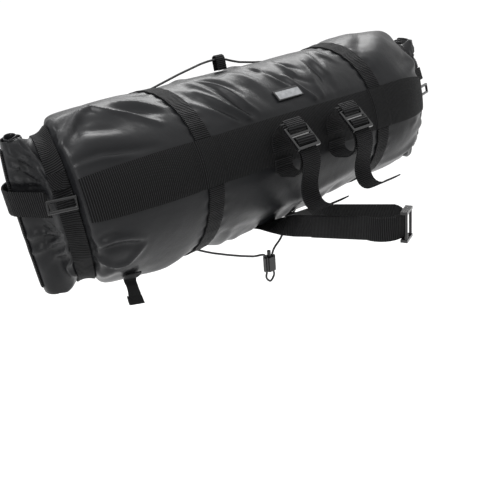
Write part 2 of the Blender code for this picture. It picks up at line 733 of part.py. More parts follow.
def make_steerer_strap():
    """The strap from the bag's underside round the column and back."""
    radius = COLUMN_DIAMETER / 2 + 0.0005 + WEBBING_THICKNESS / 2
    fall = steerer_fall()
    slope = -math.tan(fall)
    half = STRAP_WIDTH / 2
    seat_x = 0.020
    seat_lift = SEAT_GAP + WEBBING_THICKNESS / 2 + 0.0003
    leaving = math.degrees(fall) - 90
    lead = []
    lead_half = []
    for angle in (leaving - 24, leaving - 16, leaving - 8, leaving):
        lead.append(skin(-seat_x, angle, seat_lift))
        lead_half.append(Vector((half, 0, 0)))
    for share, turn in ((0.20, 8), (0.36, 24), (0.54, 48), (0.72, 72), (0.88, 87)):
        y = lead[3].y + (STEERER_TAIL_Y - lead[3].y) * share
        z = COLUMN_STRAP_Z + slope * (y - COLUMN_Y)
        lead.append(Vector((-seat_x - (radius - seat_x) * turn / 90, y, z)))
        lead_half.append(Vector((half * math.cos(math.radians(turn)), 0,
                                 half * math.sin(math.radians(turn)))))
    loop = column_route(radius, STEERER_TAIL_Y, slope)
    tail = [Vector((-p.x, p.y, p.z)) for p in reversed(lead)]
    tail_half = [Vector((-h.x, h.y, h.z)) for h in reversed(lead_half)]
    upright = [Vector((0, 0, half))] * len(loop)
    ribbon("steerer_strap", lead + loop + tail, lead_half + upright + tail_half)

    outer = radius + WEBBING_THICKNESS + LAYER_GAP + 0.0002
    around = column_route(outer, STEERER_TAIL_Y, slope)
    slider_angle = 292.0
    kept = [p for p in around if p.y >= COLUMN_Y - 0.0001 and p.x < 0]
    beside = [slider_angle + d for d in (-16, -9, -5, 0, 5, 9, 16, 26)]
    for angle in [192 + 12 * k for k in range(7)] + beside:
        bulge = 0.0028 * math.exp(-((angle - slider_angle) / 7.0) ** 2)
        reach = outer + bulge
        turn = math.radians(angle)
        kept.append(Vector((reach * math.cos(turn), COLUMN_Y + reach * math.sin(turn),
                            COLUMN_STRAP_Z)))
    ribbon("steerer_tail", kept, [Vector((0, 0, half))] * len(kept))
    make_steerer_slider(slider_angle, radius, outer)


def make_steerer_slider(angle, loop_radius, tail_radius):
    """The tri-bar slider: two bars over the tail, one between the tail and the loop."""
    turn = math.radians(angle)
    out = Vector((math.cos(turn), math.sin(turn), 0))
    along = Vector((-math.sin(turn), math.cos(turn), 0))
    up = Vector((0, 0, 1))
    middle = Vector((0, COLUMN_Y, COLUMN_STRAP_Z))
    low = loop_radius + WEBBING_THICKNESS / 2 + 0.0004
    high = tail_radius + WEBBING_THICKNESS / 2 + 0.0018 + SLIDER_BAR
    length = 2 * SLIDER_REACH - SLIDER_BAR
    bm = bmesh.new()
    add_rod(bm, middle + out * (low + SLIDER_INNER_BAR), up, length, SLIDER_INNER_BAR)
    for share in (-1, 1):
        place = middle + out * (high - SLIDER_BAR / 2)
        place += along * share * (SLIDER_LENGTH - SLIDER_BAR) / 2
        add_rod(bm, place, up, length, SLIDER_BAR / 2)
    mesh = bpy.data.meshes.new("steerer_slider")
    bm.to_mesh(mesh)
    bm.free()
    made = add_object("steerer_slider", mesh, BLACK_PLASTIC)
    for level in (-1, 1):
        rail = bmesh.new()
        half = Vector((SLIDER_LENGTH / 2 + 0.0004, (high - low) / 2 + 0.0004, SLIDER_BAR / 2))
        box_between(rail, -half, half)
        place = middle + out * (low + high) / 2 + up * level * (SLIDER_REACH - SLIDER_BAR / 2)
        bmesh.ops.transform(rail, matrix=placed(place, along, -out), verts=rail.verts)
        join_to(made, rail, "rail_%d" % (level + 1), "UNION")
    return made


def add_rod(bm, centre, direction, length, radius):
    """A rod centred on a point."""
    turned = direction.to_track_quat("Z", "Y").to_matrix().to_4x4()
    bmesh.ops.create_cone(bm, cap_ends=True, segments=12, radius1=radius, radius2=radius,
                          depth=length, matrix=Matrix.Translation(centre) @ turned)


def join_to(made, bm, name, operation):
    """Fuse one more solid to an object, or cut it out."""
    mesh = bpy.data.meshes.new(made.name + "_" + name)
    bm.to_mesh(mesh)
    bm.free()
    added = bpy.data.objects.new(made.name + "_" + name, mesh)
    bpy.data.collections["cutters"].objects.link(added)
    added.hide_render = True
    added.display_type = "WIRE"
    change = made.modifiers.new(name, "BOOLEAN")
    change.operation = operation
    change.object = added


def make_cord_lock():
    """The cord lock: a rounded block with two holes and a button on top."""
    half = Vector((LOCK_WIDTH, LOCK_DEPTH, LOCK_HEIGHT)) / 2
    bm = bmesh.new()
    box_between(bm, LOCK_CENTRE - half, LOCK_CENTRE + half)
    upright = [edge for edge in bm.edges if abs(edge.verts[0].co.z - edge.verts[1].co.z) > half.z]
    bmesh.ops.bevel(bm, geom=upright, offset=0.0030, segments=3, affect="EDGES")
    mesh = bpy.data.meshes.new("cord_lock")
    bm.to_mesh(mesh)
    bm.free()
    made = add_object("cord_lock", mesh, BLACK_PLASTIC)
    up = Vector((0, 0, 1))
    button = bmesh.new()
    top = LOCK_CENTRE + up * (half.z + LOCK_BUTTON_RISE / 2 - 0.001)
    add_rod(button, top, up, LOCK_BUTTON_RISE + 0.002, LOCK_BUTTON_RADIUS)
    join_to(made, button, "button", "UNION")
    for side in (-1, 1):
        hole = bmesh.new()
        add_rod(hole, LOCK_CENTRE + Vector((side * LOCK_HOLE_X, 0, 0)), up, 2 * LOCK_HEIGHT,
                CORD_DIAMETER / 2 + LOCK_HOLE_CLEARANCE)
        join_to(made, hole, "hole_%d" % (side + 1), "DIFFERENCE")


def make_small_pieces():
    """The bare patch and the hanging tab."""
    across = math.degrees(0.0135 / BAG_RADIUS)
    xs = [PATCH_X - PATCH_HALF + 2 * PATCH_HALF * k / 3 for k in range(4)]
    angles = [43.0 + across * k / 2 for k in range(3)]
    patch_on_skin("label_patch", xs, angles, SEAT_GAP, 0.0012, GREY_PATCH)

    step = 0.004
    stretch = (skin(HANG_TAB_X + step, -54).x - skin(HANG_TAB_X - step, -54).x) / (2 * step)
    half = HANG_TAB_WIDTH / 2 / stretch
    edges = []
    for x in (HANG_TAB_X - half, HANG_TAB_X + half):
        seat = [skin(x, angle, WEBBING_THICKNESS) for angle in (-48, -54, -60)]
        low = seat[-1]
        drop = [low + Vector((0, -0.0026, -0.006)), low + Vector((0.001, -0.0032, -0.016)),
                low + Vector((0.003, -0.0026, -HANG_TAB_DROP))]
        edges.append(smooth_route(seat + drop, 12))
    rows = [(a, b) for a, b in zip(*edges)]
    thicken(loft("hang_tab", rows, BLACK_WEBBING), WEBBING_THICKNESS, 0)


def make_cord_tab(name, x, angle, height, width):
    """A folded webbing loop that stands on the tube, open along X."""
    base = skin(x, angle, SEAT_GAP + CORD_TAB_THICKNESS / 2)
    ahead = skin(x, angle + 3, SEAT_GAP + CORD_TAB_THICKNESS / 2)
    along = Vector((0, ahead.y - base.y, ahead.z - base.z)).normalized()
    out = Vector((0, -along.z, along.y))
    outward = Vector((0, base.y - BAG_AXIS_Y, base.z - BAG_AXIS_Z))
    out *= math.copysign(1.0, out.dot(outward))
    half_gap = CORD_TAB_HALF_GAP
    route = [base - along * half_gap + out * height * k / 3 for k in range(3)]
    for k in range(5):
        turn = math.radians(180 - 45 * k)
        route.append(base + out * height * 2 / 3 + along * half_gap * math.cos(turn)
                     + out * half_gap * math.sin(turn) * 1.2)
    route += [base + along * half_gap + out * height * k / 3 for k in (1, 0)]
    across = [Vector((width / 2, 0, 0))] * len(route)
    ribbon(name, route, across, thickness=CORD_TAB_THICKNESS)


def cord_line(chosen):
    """A smooth line through a cord's chosen points, with more points where it bends."""
    knots = [Vector(point) for point in chosen]
    knots = [2 * knots[0] - knots[1]] + knots + [2 * knots[-1] - knots[-2]]
    line = []
    for p0, p1, p2, p3 in zip(knots, knots[1:], knots[2:], knots[3:]):
        before = math.sqrt((p1 - p0).length)
        span = math.sqrt((p2 - p1).length)
        after = math.sqrt((p3 - p2).length)
        pull1 = (p1 - p0) / before - (p2 - p0) / (before + span) + (p2 - p1) / span
        pull2 = (p2 - p1) / span - (p3 - p1) / (span + after) + (p3 - p2) / after
        turn = (p1 - p0).angle(p3 - p2)
        parts = min(max(round(turn / CORD_TURN), 1), 3)
        for k in range(parts):
            t = k / parts
            line.append(p1 * (2 * t ** 3 - 3 * t * t + 1) + pull1 * span * (t ** 3 - 2 * t * t + t)
                        + p2 * (3 * t * t - 2 * t ** 3) + pull2 * span * (t ** 3 - t * t))
    return line + [knots[-2]]


def make_cord():
    """The elastic cord, one tube along its route."""
    points = cord_line(CORD_ROUTE)
    curve = bpy.data.curves.new("elastic_cord", "CURVE")
    curve.dimensions = "3D"
    curve.bevel_depth = CORD_DIAMETER / 2
    curve.bevel_resolution = 2
    curve.use_fill_caps = True
    spline = curve.splines.new("POLY")
    spline.points.add(len(points) - 1)
    for spot, point in zip(spline.points, points):
        spot.co = (*point, 1.0)
    curve.materials.append(material(BLACK_CORD))
    made = bpy.data.objects.new("elastic_cord", curve)
    bpy.data.collections["handlebar_bag"].objects.link(made)


def build():
    """Make every piece of the bag."""
    clear_scene()
    collection("handlebar_bag")
    collection("cutters")
    make_body()
    make_back_strip()
    make_band("band_left", -BAND_X)
    make_band("band_right", BAND_X)
    for side, tag in ((-1, "left"), (1, "right")):
        make_closure(side, tag)
        make_roll_strap(side, tag)
        make_lip_webbing(side, tag)
        make_bar_fastening(side, tag)
    make_steerer_strap()
    make_small_pieces()
    make_cord_tab("cord_tab_centre", CENTRE_TAB_X, 99, CENTRE_TAB_HEIGHT, TAB_WIDTH)
    make_cord_tab("cord_tab_top_left", -CORD_TAB_X, 136, CORD_TAB_HEIGHT, CORD_TAB_WIDTH)
    make_cord_tab("cord_tab_top_right", CORD_TAB_X, 134, CORD_TAB_HEIGHT, CORD_TAB_WIDTH)
    make_cord_tab("cord_tab_low_left", -CORD_TAB_X, -100, CORD_TAB_HEIGHT, CORD_TAB_WIDTH)
    make_cord_tab("cord_tab_low_right", CORD_TAB_X, -100, CORD_TAB_HEIGHT, CORD_TAB_WIDTH)
    make_cord_lock()
    make_cord()


build()
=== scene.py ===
"""The looks of the bicycle handlebar bag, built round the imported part.

Metres, in the part's frame: +X is the rider's right, +Y forward, +Z up, and the origin is the
centre of the handlebar clamp.
"""

import heapq
import math

import bmesh
import bpy
import numpy as np
from mathutils import Matrix, Vector, noise
from mathutils.bvhtree import BVHTree


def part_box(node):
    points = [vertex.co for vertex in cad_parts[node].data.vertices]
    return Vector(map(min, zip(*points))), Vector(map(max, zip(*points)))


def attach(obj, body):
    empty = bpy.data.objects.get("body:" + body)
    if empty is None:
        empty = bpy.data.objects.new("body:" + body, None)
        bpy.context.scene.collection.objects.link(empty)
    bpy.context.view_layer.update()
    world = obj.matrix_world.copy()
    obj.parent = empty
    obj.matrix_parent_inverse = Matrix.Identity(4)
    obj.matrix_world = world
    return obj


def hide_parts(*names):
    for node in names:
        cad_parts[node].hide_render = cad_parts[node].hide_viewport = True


# The photograph's camera
CAMERA_PLACE = Vector((-0.6112, -0.5645, 0.2437))
CAMERA_AZIMUTH = math.radians(-41.8)
CAMERA_ELEVATION = math.radians(19.9)
CAMERA_ROLL = math.radians(-4.0)
CAMERA_LENS = 58.46
CAMERA_SHIFT = (-0.0070, -0.0944)
SENSOR_WIDTH = 36.0

# The studio: the sky's strength at the horizon and its rise towards straight up, and the lights
# as (name, place, target, width and length, watts)
FLOOR_Z = -0.95
FLOOR_REACH = 40.0
SKY_HORIZON = 0.66
SKY_RISE = 0.75
LIGHTS = (
    ("key", (-0.9, 0.2, 1.5), (0, 0.1, 0), (0.5, 0.5), 19),
    ("side", (-1.7, -0.9, 0.5), (-0.1, 0.1, 0), (0.6, 1.0), 9),
    ("rim", (0.9, 1.2, 1.1), (0, 0.1, 0), (1.2, 0.6), 18),
)

# Sizes as in the part
AXIS_Y = 0.114
AXIS_Z = -0.0127
BODY_HALF = 0.240
NECK_LENGTH = 0.044
LEAN = {-1: (0.15, 0.36), 1: (0.03, -0.12)}
LEAN_SHARES = (0.72, 1.02)
BAND_X = 0.131
BAND_WIDTH = 0.020
WEBBING = 0.0014
CORD_DIAMETER = 0.0026

# The scene's own sizes. The radius is a little under the part's, and only turns degrees round the
# tube into lengths. The strip reaches a little further than the part's, and MM is the
# millimetres in a metre.
RADIUS = 0.088
STRIP_HALF = 0.2395
STRIP_ANGLES = (1.2, 32.8)
CORD_TURN = math.radians(26)
WALL_TURN = math.radians(75)
TUBE_END = (0.2610, 0.2650)
MM = 1000

# Colours, from dark to light, and the pitches of the weaves, in metres
FABRIC_TONES = ((0.0060, 0.0062, 0.0069), (0.0095, 0.0098, 0.0108))
# The webbing's dark colour is painted shade in the hollows between the ribs, its light one painted
# highlight on their crests
WEBBING_SHADE_TO_HIGHLIGHT = ((0.0009, 0.0009, 0.0009), (0.0165, 0.0167, 0.0177))
PLASTIC_TONES = ((0.0034, 0.0034, 0.0037), (0.0060, 0.0060, 0.0065))
# The cord's dark colour is painted shade in the braid's grooves, its light one painted highlight on
# its crests
CORD_SHADE_TO_HIGHLIGHT = ((0.0045, 0.0045, 0.0048), (0.022, 0.022, 0.023))
PATCH_TONES = ((0.16, 0.165, 0.17), (0.30, 0.305, 0.315))
PATCH_BORDER = (0.008, 0.008, 0.009, 1.0)
PATCH_BORDER_WIDTH = 0.0018
FLOOR_TONE = (0.93, 0.93, 0.93, 1.0)
FABRIC_WEAVE = 0.0009
WEBBING_RIB = 0.0021
WEBBING_TWILL = 0.0011
PATCH_WEAVE = 0.0008
CORD_BRAID = 0.0030

# The elastic cord's route, as in the part
CORD_ROUTE = (
    (-0.0304, 0.0700, -0.1440),
    (-0.0304, 0.0700, -0.1357),
    (-0.0340, 0.0700, -0.1312),
    (-0.0483, 0.0725, -0.1288),
    (-0.0800, 0.1040, -0.1225),
    (-0.1089, 0.1322, -0.1109),
    (-0.1170, 0.1306, -0.1101),
    (-0.1280, 0.1349, -0.1072),
    (-0.1309, 0.1545, -0.0994),
    (-0.1309, 0.1837, -0.0759),
    (-0.1309, 0.2017, -0.0424),
    (-0.1309, 0.2059, -0.0047),
    (-0.1309, 0.1954, 0.0305),
    (-0.1281, 0.1840, 0.0479),
    (-0.1172, 0.1823, 0.0528),
    (-0.1091, 0.1825, 0.0546),
    (-0.0510, 0.1345, 0.0862),
    (-0.0270, 0.1304, 0.0882),
    (0.0120, 0.1408, 0.0775),
    (0.1088, 0.1802, 0.0588),
    (0.1169, 0.1801, 0.0579),
    (0.1278, 0.1819, 0.0535),
    (0.1308, 0.1961, 0.0331),
    (0.1309, 0.2067, -0.0059),
    (0.1310, 0.2013, -0.0429),
    (0.1311, 0.1807, -0.0739),
    (0.1312, 0.1517, -0.0931),
    (0.1284, 0.1348, -0.0983),
    (0.1175, 0.1304, -0.1019),
    (0.1094, 0.1294, -0.1038),
    (0.0449, 0.1020, -0.1150),
    (-0.0040, 0.0720, -0.1215),
    (-0.0170, 0.0700, -0.1290),
    (-0.0206, 0.0700, -0.1357),
    (-0.0206, 0.0700, -0.1535),
    (-0.0193, 0.0700, -0.1610),
    (-0.0255, 0.0700, -0.1672),
    (-0.0317, 0.0700, -0.1610),
    (-0.0304, 0.0700, -0.1535),
    (-0.0304, 0.0700, -0.1456),
)

# Folds of the fabric: height and half-width in millimetres, then the places of each fold as
# (millimetres along X, degrees round the tube from the rider's side upwards)
FOLDS = (
    (3.2, 3.4, ((-266, 63), (-265, 60), (-258, 64), (-240, 75), (-226, 82), (-214, 84), (-208, 77),
                (-200, 72), (-189, 67), (-174, 56), (-166, 51))),
    (-2.6, 7, ((-262, 53), (-249, 64), (-235, 72), (-219, 73))),
    (2.0, 3, ((-252, 90), (-267, 86))),
    (1.8, 5, ((-252, 97), (-258, 91), (-266, 79))),
    (-2.2, 5, ((-264, 74), (-255, 75), (-236, 85))),
    (2.2, 4, ((-269, 41), (-256, 41), (-239, 40), (-227, 38), (-213, 36))),
    (-2.4, 4.5, ((-268, 42), (-254, 43), (-240, 43), (-227, 41), (-210, 39), (-183, 35))),
    (1.8, 12, ((-268, 53), (-252, 54), (-230, 52), (-198, 46))),
    (-1.8, 7, ((-242, 65), (-226, 62), (-211, 58))),
    (1.4, 6, ((-227, 73), (-214, 74), (-206, 71), (-199, 65))),
    (2.0, 4.5, ((-187, 82), (-169, 74), (-152, 65))),
    (-2.4, 5, ((-195, 77), (-179, 70), (-157, 60))),
    (2.4, 4, ((-260, -27), (-258, -16), (-248, -13), (-231, -15), (-217, -19))),
    (-2.6, 4.5, ((-262, -21), (-258, -12), (-247, -9))),
    (-3.0, 4.5, ((-257, -42), (-258, -23), (-241, -21), (-219, -23))),
    (3.4, 3.6, ((-257, -46), (-256, -34), (-243, -38), (-232, -37), (-222, -29), (-216, -24))),
    (-2.2, 5, ((-255, -51), (-255, -38), (-239, -43))),
    (2.4, 8, ((-255, -68), (-250, -54), (-241, -45), (-228, -47))),
    (-2.6, 8, ((-198, 102), (-172, 96), (-148, 88))),
    (2.2, 10, ((-200, -62), (-172, -59), (-157, -52))),
    (2.6, 3.6, ((-85, 88), (-76, 78), (-69, 69), (-64, 58), (-59, 47), (-52, 40))),
    (2.8, 3.8, ((-99, 72), (-92, 61), (-85, 51), (-76, 44), (-67, 37), (-54, 29))),
    (1.8, 4.5, ((-112, 59), (-104, 51), (-93, 44), (-80, 35), (-72, 31))),
    (1.6, 7, ((-37, 87), (-27, 75), (-22, 64), (-20, 53))),
    (2.4, 4.2, ((-2, 87), (-0, 73), (4, 60), (12, 51), (19, 45))),
    (2.3, 4, ((33, 88), (31, 72), (33, 60), (45, 51))),
    (3.0, 3.6, ((19, 63), (19, 53), (24, 45), (32, 38), (43, 29))),
    (2.0, 4.5, ((64, 76), (57, 63), (48, 52), (46, 43), (46, 32))),
    (2.2, 4, ((86, 85), (78, 72), (75, 62), (75, 56))),
    (1.8, 4.5, ((100, 88), (99, 75), (105, 63))),
    (1.8, 6, ((88, 66), (77, 54), (66, 43))),
    (2.0, 6, ((-94, 90), (-90, 80), (-86, 69), (-82, 58))),
    (-2.2, 5, ((-78, 88), (-65, 78), (-56, 67), (-53, 57))),
    (-2.4, 5, ((-74, 64), (-70, 54), (-66, 45), (-57, 38))),
    (-1.8, 5.5, ((-103, 56), (-94, 49), (-82, 40), (-70, 33))),
    (-2.4, 5, ((-7, 80), (3, 71), (10, 58), (11, 50))),
    (-2.2, 4.5, ((34, 84), (43, 73), (47, 67))),
    (-2.4, 4.5, ((24, 64), (38, 55), (47, 49))),
    (-2.4, 5, ((68, 72), (68, 62), (66, 53), (59, 43))),
    (-1.8, 6, ((76, 57), (69, 46), (67, 37))),
    (-1.6, 8, ((-48, 71), (-38, 61), (-36, 51), (-30, 42))),
    (-1.6, 6, ((-116, 76), (-111, 69), (-108, 58))),
    (3.0, 14, ((236, 88), (217, 77), (194, 66), (157, 52), (134, 45))),
    (-2.6, 10, ((200, 92), (177, 80), (149, 68))),
    (-2.4, 8, ((232, 60), (218, 50), (190, 42))),
    (2.2, 7, ((236, 52), (228, 44), (208, 38))),
    (2.6, 7, ((231, 24), (226, 12), (212, 4), (192, -5))),
    (2.6, 8, ((228, -28), (218, -27), (200, -34), (160, -36))),
    (2.2, 10, ((-100, -20), (-60, -32), (0, -34), (60, -28), (100, -24))),
    (-2.0, 12, ((-110, -44), (-40, -52), (40, -50), (110, -40))),
    (2.0, 9, ((-96, -70), (-50, -64), (10, -70), (70, -62))),
)

# The cross-section of a fold: a sharp crease on a round crest, less a wide low skirt
CREASE = 1.05
CREST = 0.75
SKIRT = 0.55
SKIRT_WIDTH = 2.1

# Folds scattered over the sides that the photograph doesn't show, in millimetres and degrees
HIDDEN_SEED = 7
HIDDEN_COUNT = 46
HIDDEN_SPAN = 115
HIDDEN_SHIFT = 75
HIDDEN_ANGLES = (112, 300)
HIDDEN_SLANT = 0.5
HIDDEN_REACH = (14, 30)
HIDDEN_HEIGHT = (1.2, 2.4)
HIDDEN_WIDTH = (5, 9)

# Gathers at the necks, puckers under the bands, the swell between them and small crumples, with
# heights and places in millimetres and counts for a full turn
GATHER_HEIGHT = 1.7
GATHER_COUNT = 15
GATHER_START = (192, 238)
GATHER_STOP = (254, 262)
PUCKER_HEIGHT = 0.5
PUCKER_COUNT = 37
SWELL_HEIGHT = 1.3
CRUMPLE_HEIGHT = 0.35
CRUMPLE_SCALES = (38.0, 85.0)
BAND_CALM = (10.2, 19)
STRIP_CALM = (16.3, 21.5)

# Pleats of the rolls, which fan out from points by the strap: height of the point along Z in
# millimetres, direction of the fan, number of pleats in a full turn
ROLL_FANS = ((25.0, 1, 15), (-28.0, -1, 13))
ROLL_EDGE = 23.0
ROLL_RADIUS = 18.0
ROLL_DEPTH = 3.0
ROLL_TWIST = 0.8
ROLL_STRAP_Z = 0.006
ROLL_STRAP_CALM = 0.0155

# Straps that keep the part's shape: name, direction of the width, a place by the starting end.
# Those at the sides stand for a pair, with X counted outwards.
SIDE_STRAPS = (
    ("bar_strap_", (1, 0, 0), (0.042, 0.02, -0.01)),
    ("bar_anchor_", (1, 0, 0), (0.042, 0.024, 0.004)),
    ("roll_strap_", (0, 0, 1), (0.28, 0.074, 0.006)),
    ("closure_tail_", (1, 0, 0), (0.265, 0.06, 0.035)),
)
MIDDLE_STRAPS = (
    ("steerer_strap", (1, 0, 0), (-0.02, 0.133, -0.106)),
    ("steerer_tail", (0, 0, 1), (-0.024, 0.002, -0.08)),
)
HANG_TAB_START = (-0.212, 0.05, -0.083)
STRAP_BEVEL = 0.00035
TAB_BEVEL = 0.0002


def cord_line(chosen):
    """A smooth line through a cord's chosen points, with more points where it bends."""
    knots = [Vector(point) for point in chosen]
    knots = [2 * knots[0] - knots[1]] + knots + [2 * knots[-1] - knots[-2]]
    line = []
    for p0, p1, p2, p3 in zip(knots, knots[1:], knots[2:], knots[3:]):
        before = math.sqrt((p1 - p0).length)
        span = math.sqrt((p2 - p1).length)
        after = math.sqrt((p3 - p2).length)
        pull1 = (p1 - p0) / before - (p2 - p0) / (before + span) + (p2 - p1) / span
        pull2 = (p2 - p1) / span - (p3 - p1) / (span + after) + (p3 - p2) / after
        turn = (p1 - p0).angle(p3 - p2)
        parts = min(max(round(turn / CORD_TURN), 1), 3) * 3
        for k in range(parts):
            t = k / parts
            line.append(p1 * (2 * t ** 3 - 3 * t * t + 1) + pull1 * span * (t ** 3 - 2 * t * t + t)
                        + p2 * (3 * t * t - 2 * t ** 3) + pull2 * span * (t ** 3 - t * t))
    return line + [knots[-2]]


def tube(name, line, radius, sides=10):
    """A round tube along a line, with its length in metres and its turn as UV."""
    points = []
    lengths = [0.0]
    for a, b in zip(line, line[1:]):
        lengths.append(lengths[-1] + (b - a).length)
    normal = Vector((0, 0, 1))
    for i, point in enumerate(line):
        ahead = (line[min(i + 1, len(line) - 1)] - line[max(i - 1, 0)]).normalized()
        normal = normal - ahead * normal.dot(ahead)
        if normal.length < 1e-4:
            normal = ahead.orthogonal()
        normal.normalize()
        side = ahead.cross(normal)
        for k in range(sides):
            turn = 2 * math.pi * k / sides
            points.append(point + (normal * math.cos(turn) + side * math.sin(turn)) * radius)
    faces = []
    uvs = []
    for i in range(len(line) - 1):
        for k in range(sides):
            a = i * sides + k
            b = i * sides + (k + 1) % sides
            faces.append((a, b, b + sides, a + sides))
            v0, v1 = k / sides, (k + 1) / sides
            uvs += [(lengths[i], v0), (lengths[i], v1), (lengths[i + 1], v1), (lengths[i + 1], v0)]
    last = (len(line) - 1) * sides
    faces.append(tuple(range(sides - 1, -1, -1)))
    faces.append(tuple(range(last, last + sides)))
    uvs += [(0.0, 0.0)] * (2 * sides)
    return add_piece(name, points, faces, uvs)


def add_object(name, data):
    """A new object in the scene."""
    made = bpy.data.objects.new(name, data)
    bpy.context.scene.collection.objects.link(made)
    return made


def add_piece(name, points, faces, uvs=None):
    """A smooth-shaded mesh object in the part's frame."""
    mesh = bpy.data.meshes.new(name)
    mesh.from_pydata([tuple(point) for point in points], [], faces)
    if uvs is not None:
        layer = mesh.uv_layers.new(name="UVMap")
        layer.data.foreach_set("uv", np.array(uvs, np.float32).ravel())
    mesh.validate()
    mesh.shade_smooth()
    return add_object(name, mesh)


def set_material(piece, material):
    """Give a piece one material in place of what it had."""
    piece.data.materials.clear()
    piece.data.materials.append(material)


def finish_piece(piece, material, slot, *nodes):
    """Give a piece its material, put it on the bag and hide what it stands for. The slot is not
    used.
    """
    set_material(piece, material)
    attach(piece, "root")
    if nodes:
        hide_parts(*nodes)
    return piece


class Nodes:
    """A material's node tree, with short calls for its nodes and links."""

    def __init__(self, name):
        self.material = bpy.data.materials.new(name)
        self.material.use_nodes = True
        self.tree = self.material.node_tree
        self.shader = self.tree.nodes["Principled BSDF"]

    def add(self, kind, inputs=None, **settings):
        node = self.tree.nodes.new(kind)
        for key, value in settings.items():
            setattr(node, key, value)
        for key, value in (inputs or {}).items():
            if isinstance(value, bpy.types.NodeSocket):
                self.tree.links.new(value, node.inputs[key])
            else:
                node.inputs[key].default_value = value
        return node

    def math(self, operation, a, b=0.0):
        return self.add("ShaderNodeMath", {0: a, 1: b}, operation=operation).outputs[0]

    def wave(self, value, pitch):
        return self.math("SINE", self.math("MULTIPLY", value, 2 * math.pi / pitch))

    def weave(self, uv, pitch):
        parts = self.add("ShaderNodeSeparateXYZ", {0: uv})
        warp = self.wave(parts.outputs["X"], pitch)
        weft = self.wave(parts.outputs["Y"], pitch)
        return self.math("MULTIPLY", warp, weft)

    def zero_to_one(self, value):
        return self.math("ADD", self.math("MULTIPLY", value, 0.5), 0.5)

    def noise(self, where, scale, detail=3.0, roughness=0.5):
        made = self.add("ShaderNodeTexNoise", {"Vector": where, "Scale": scale, "Detail": detail,
                                               "Roughness": roughness})
        return made.outputs["Fac"]

    def ramp(self, value, low, high, colour_low, colour_high):
        made = self.add("ShaderNodeValToRGB", {"Fac": value})
        made.color_ramp.elements[0].position = low
        made.color_ramp.elements[1].position = high
        made.color_ramp.elements[0].color = (*colour_low, 1.0)
        made.color_ramp.elements[1].color = (*colour_high, 1.0)
        return made.outputs["Color"]

    def bump(self, height, strength, distance, before=None):
        inputs = {"Height": height, "Strength": strength, "Distance": distance}
        if before is not None:
            inputs["Normal"] = before
        return self.add("ShaderNodeBump", inputs).outputs["Normal"]

    def set(self, **sockets):
        for key, value in sockets.items():
            socket = self.shader.inputs[key.replace("_", " ")]
            if isinstance(value, bpy.types.NodeSocket):
                self.tree.links.new(value, socket)
            else:
                socket.default_value = value


def fabric_material():
    """Black coated cloth: a fine weave under a satin coating, with small creases."""
    n = Nodes("coated_fabric")
    place = n.add("ShaderNodeTexCoord").outputs["Object"]
    uv = n.add("ShaderNodeUVMap").outputs["UV"]
    tone = n.noise(place, 14.0, 4.0)
    fine = n.noise(place, 160.0, 3.0)
    n.set(Base_Color=n.ramp(tone, 0.3, 0.7, *FABRIC_TONES))
    gloss = n.math("ADD", n.math("MULTIPLY", tone, 0.10), n.math("MULTIPLY", fine, 0.08))
    n.set(Roughness=n.math("ADD", gloss, 0.27))
    weave = n.weave(uv, FABRIC_WEAVE)
    normal = n.bump(n.noise(place, 34.0, 4.0, 0.55), 0.16, 0.0035)
    normal = n.bump(n.noise(place, 110.0, 2.0, 0.5), 0.12, 0.0012, normal)
    normal = n.bump(weave, 0.10, 0.00012, normal)
    n.set(Normal=normal)
    n.set(Specular_IOR_Level=0.19)
    return n.material


def webbing_material():
    """Black ribbed webbing: ribs across its length, and a fine twill along it. The colour has
    painted highlights on the rib crests and painted shade in the hollows between them.
    """
    n = Nodes("webbing")
    uv = n.add("ShaderNodeUVMap").outputs["UV"]
    place = n.add("ShaderNodeTexCoord").outputs["Object"]
    parts = n.add("ShaderNodeSeparateXYZ", {0: uv})
    along = n.math("MULTIPLY", parts.outputs["X"], 2 * math.pi / WEBBING_RIB)
    rib = n.zero_to_one(n.math("SINE", along))
    slant = n.math("ADD", n.math("MULTIPLY", parts.outputs["Y"], 2 * math.pi / WEBBING_TWILL),
                   n.math("MULTIPLY", along, 0.5))
    twill = n.zero_to_one(n.math("SINE", slant))
    height = n.math("ADD", n.math("MULTIPLY", rib, 0.88), n.math("MULTIPLY", twill, 0.12))
    # Painted shade and highlight: the colour is dark in the hollows between the ribs and light on
    # their crests
    n.set(Base_Color=n.ramp(height, 0.25, 1.0, *WEBBING_SHADE_TO_HIGHLIGHT))
    n.set(Roughness=n.math("ADD", n.math("MULTIPLY", n.noise(place, 300.0), 0.2), 0.52))
    normal = n.bump(height, 1.0, 0.0008)
    n.set(Normal=n.bump(n.noise(place, 900.0, 2.0), 0.25, 0.0003, normal))
    n.set(Specular_IOR_Level=0.10)
    return n.material


def plastic_material():
    """Glossy black moulded plastic with faint moulding marks."""
    n = Nodes("gloss_plastic")
    place = n.add("ShaderNodeTexCoord").outputs["Object"]
    cloud = n.noise(place, 90.0, 3.0)
    n.set(Base_Color=n.ramp(cloud, 0.3, 0.7, *PLASTIC_TONES))
    n.set(Roughness=n.math("ADD", n.math("MULTIPLY", n.noise(place, 500.0), 0.14), 0.14))
    n.set(Normal=n.bump(n.noise(place, 260.0, 3.0), 0.10, 0.0004))
    return n.material


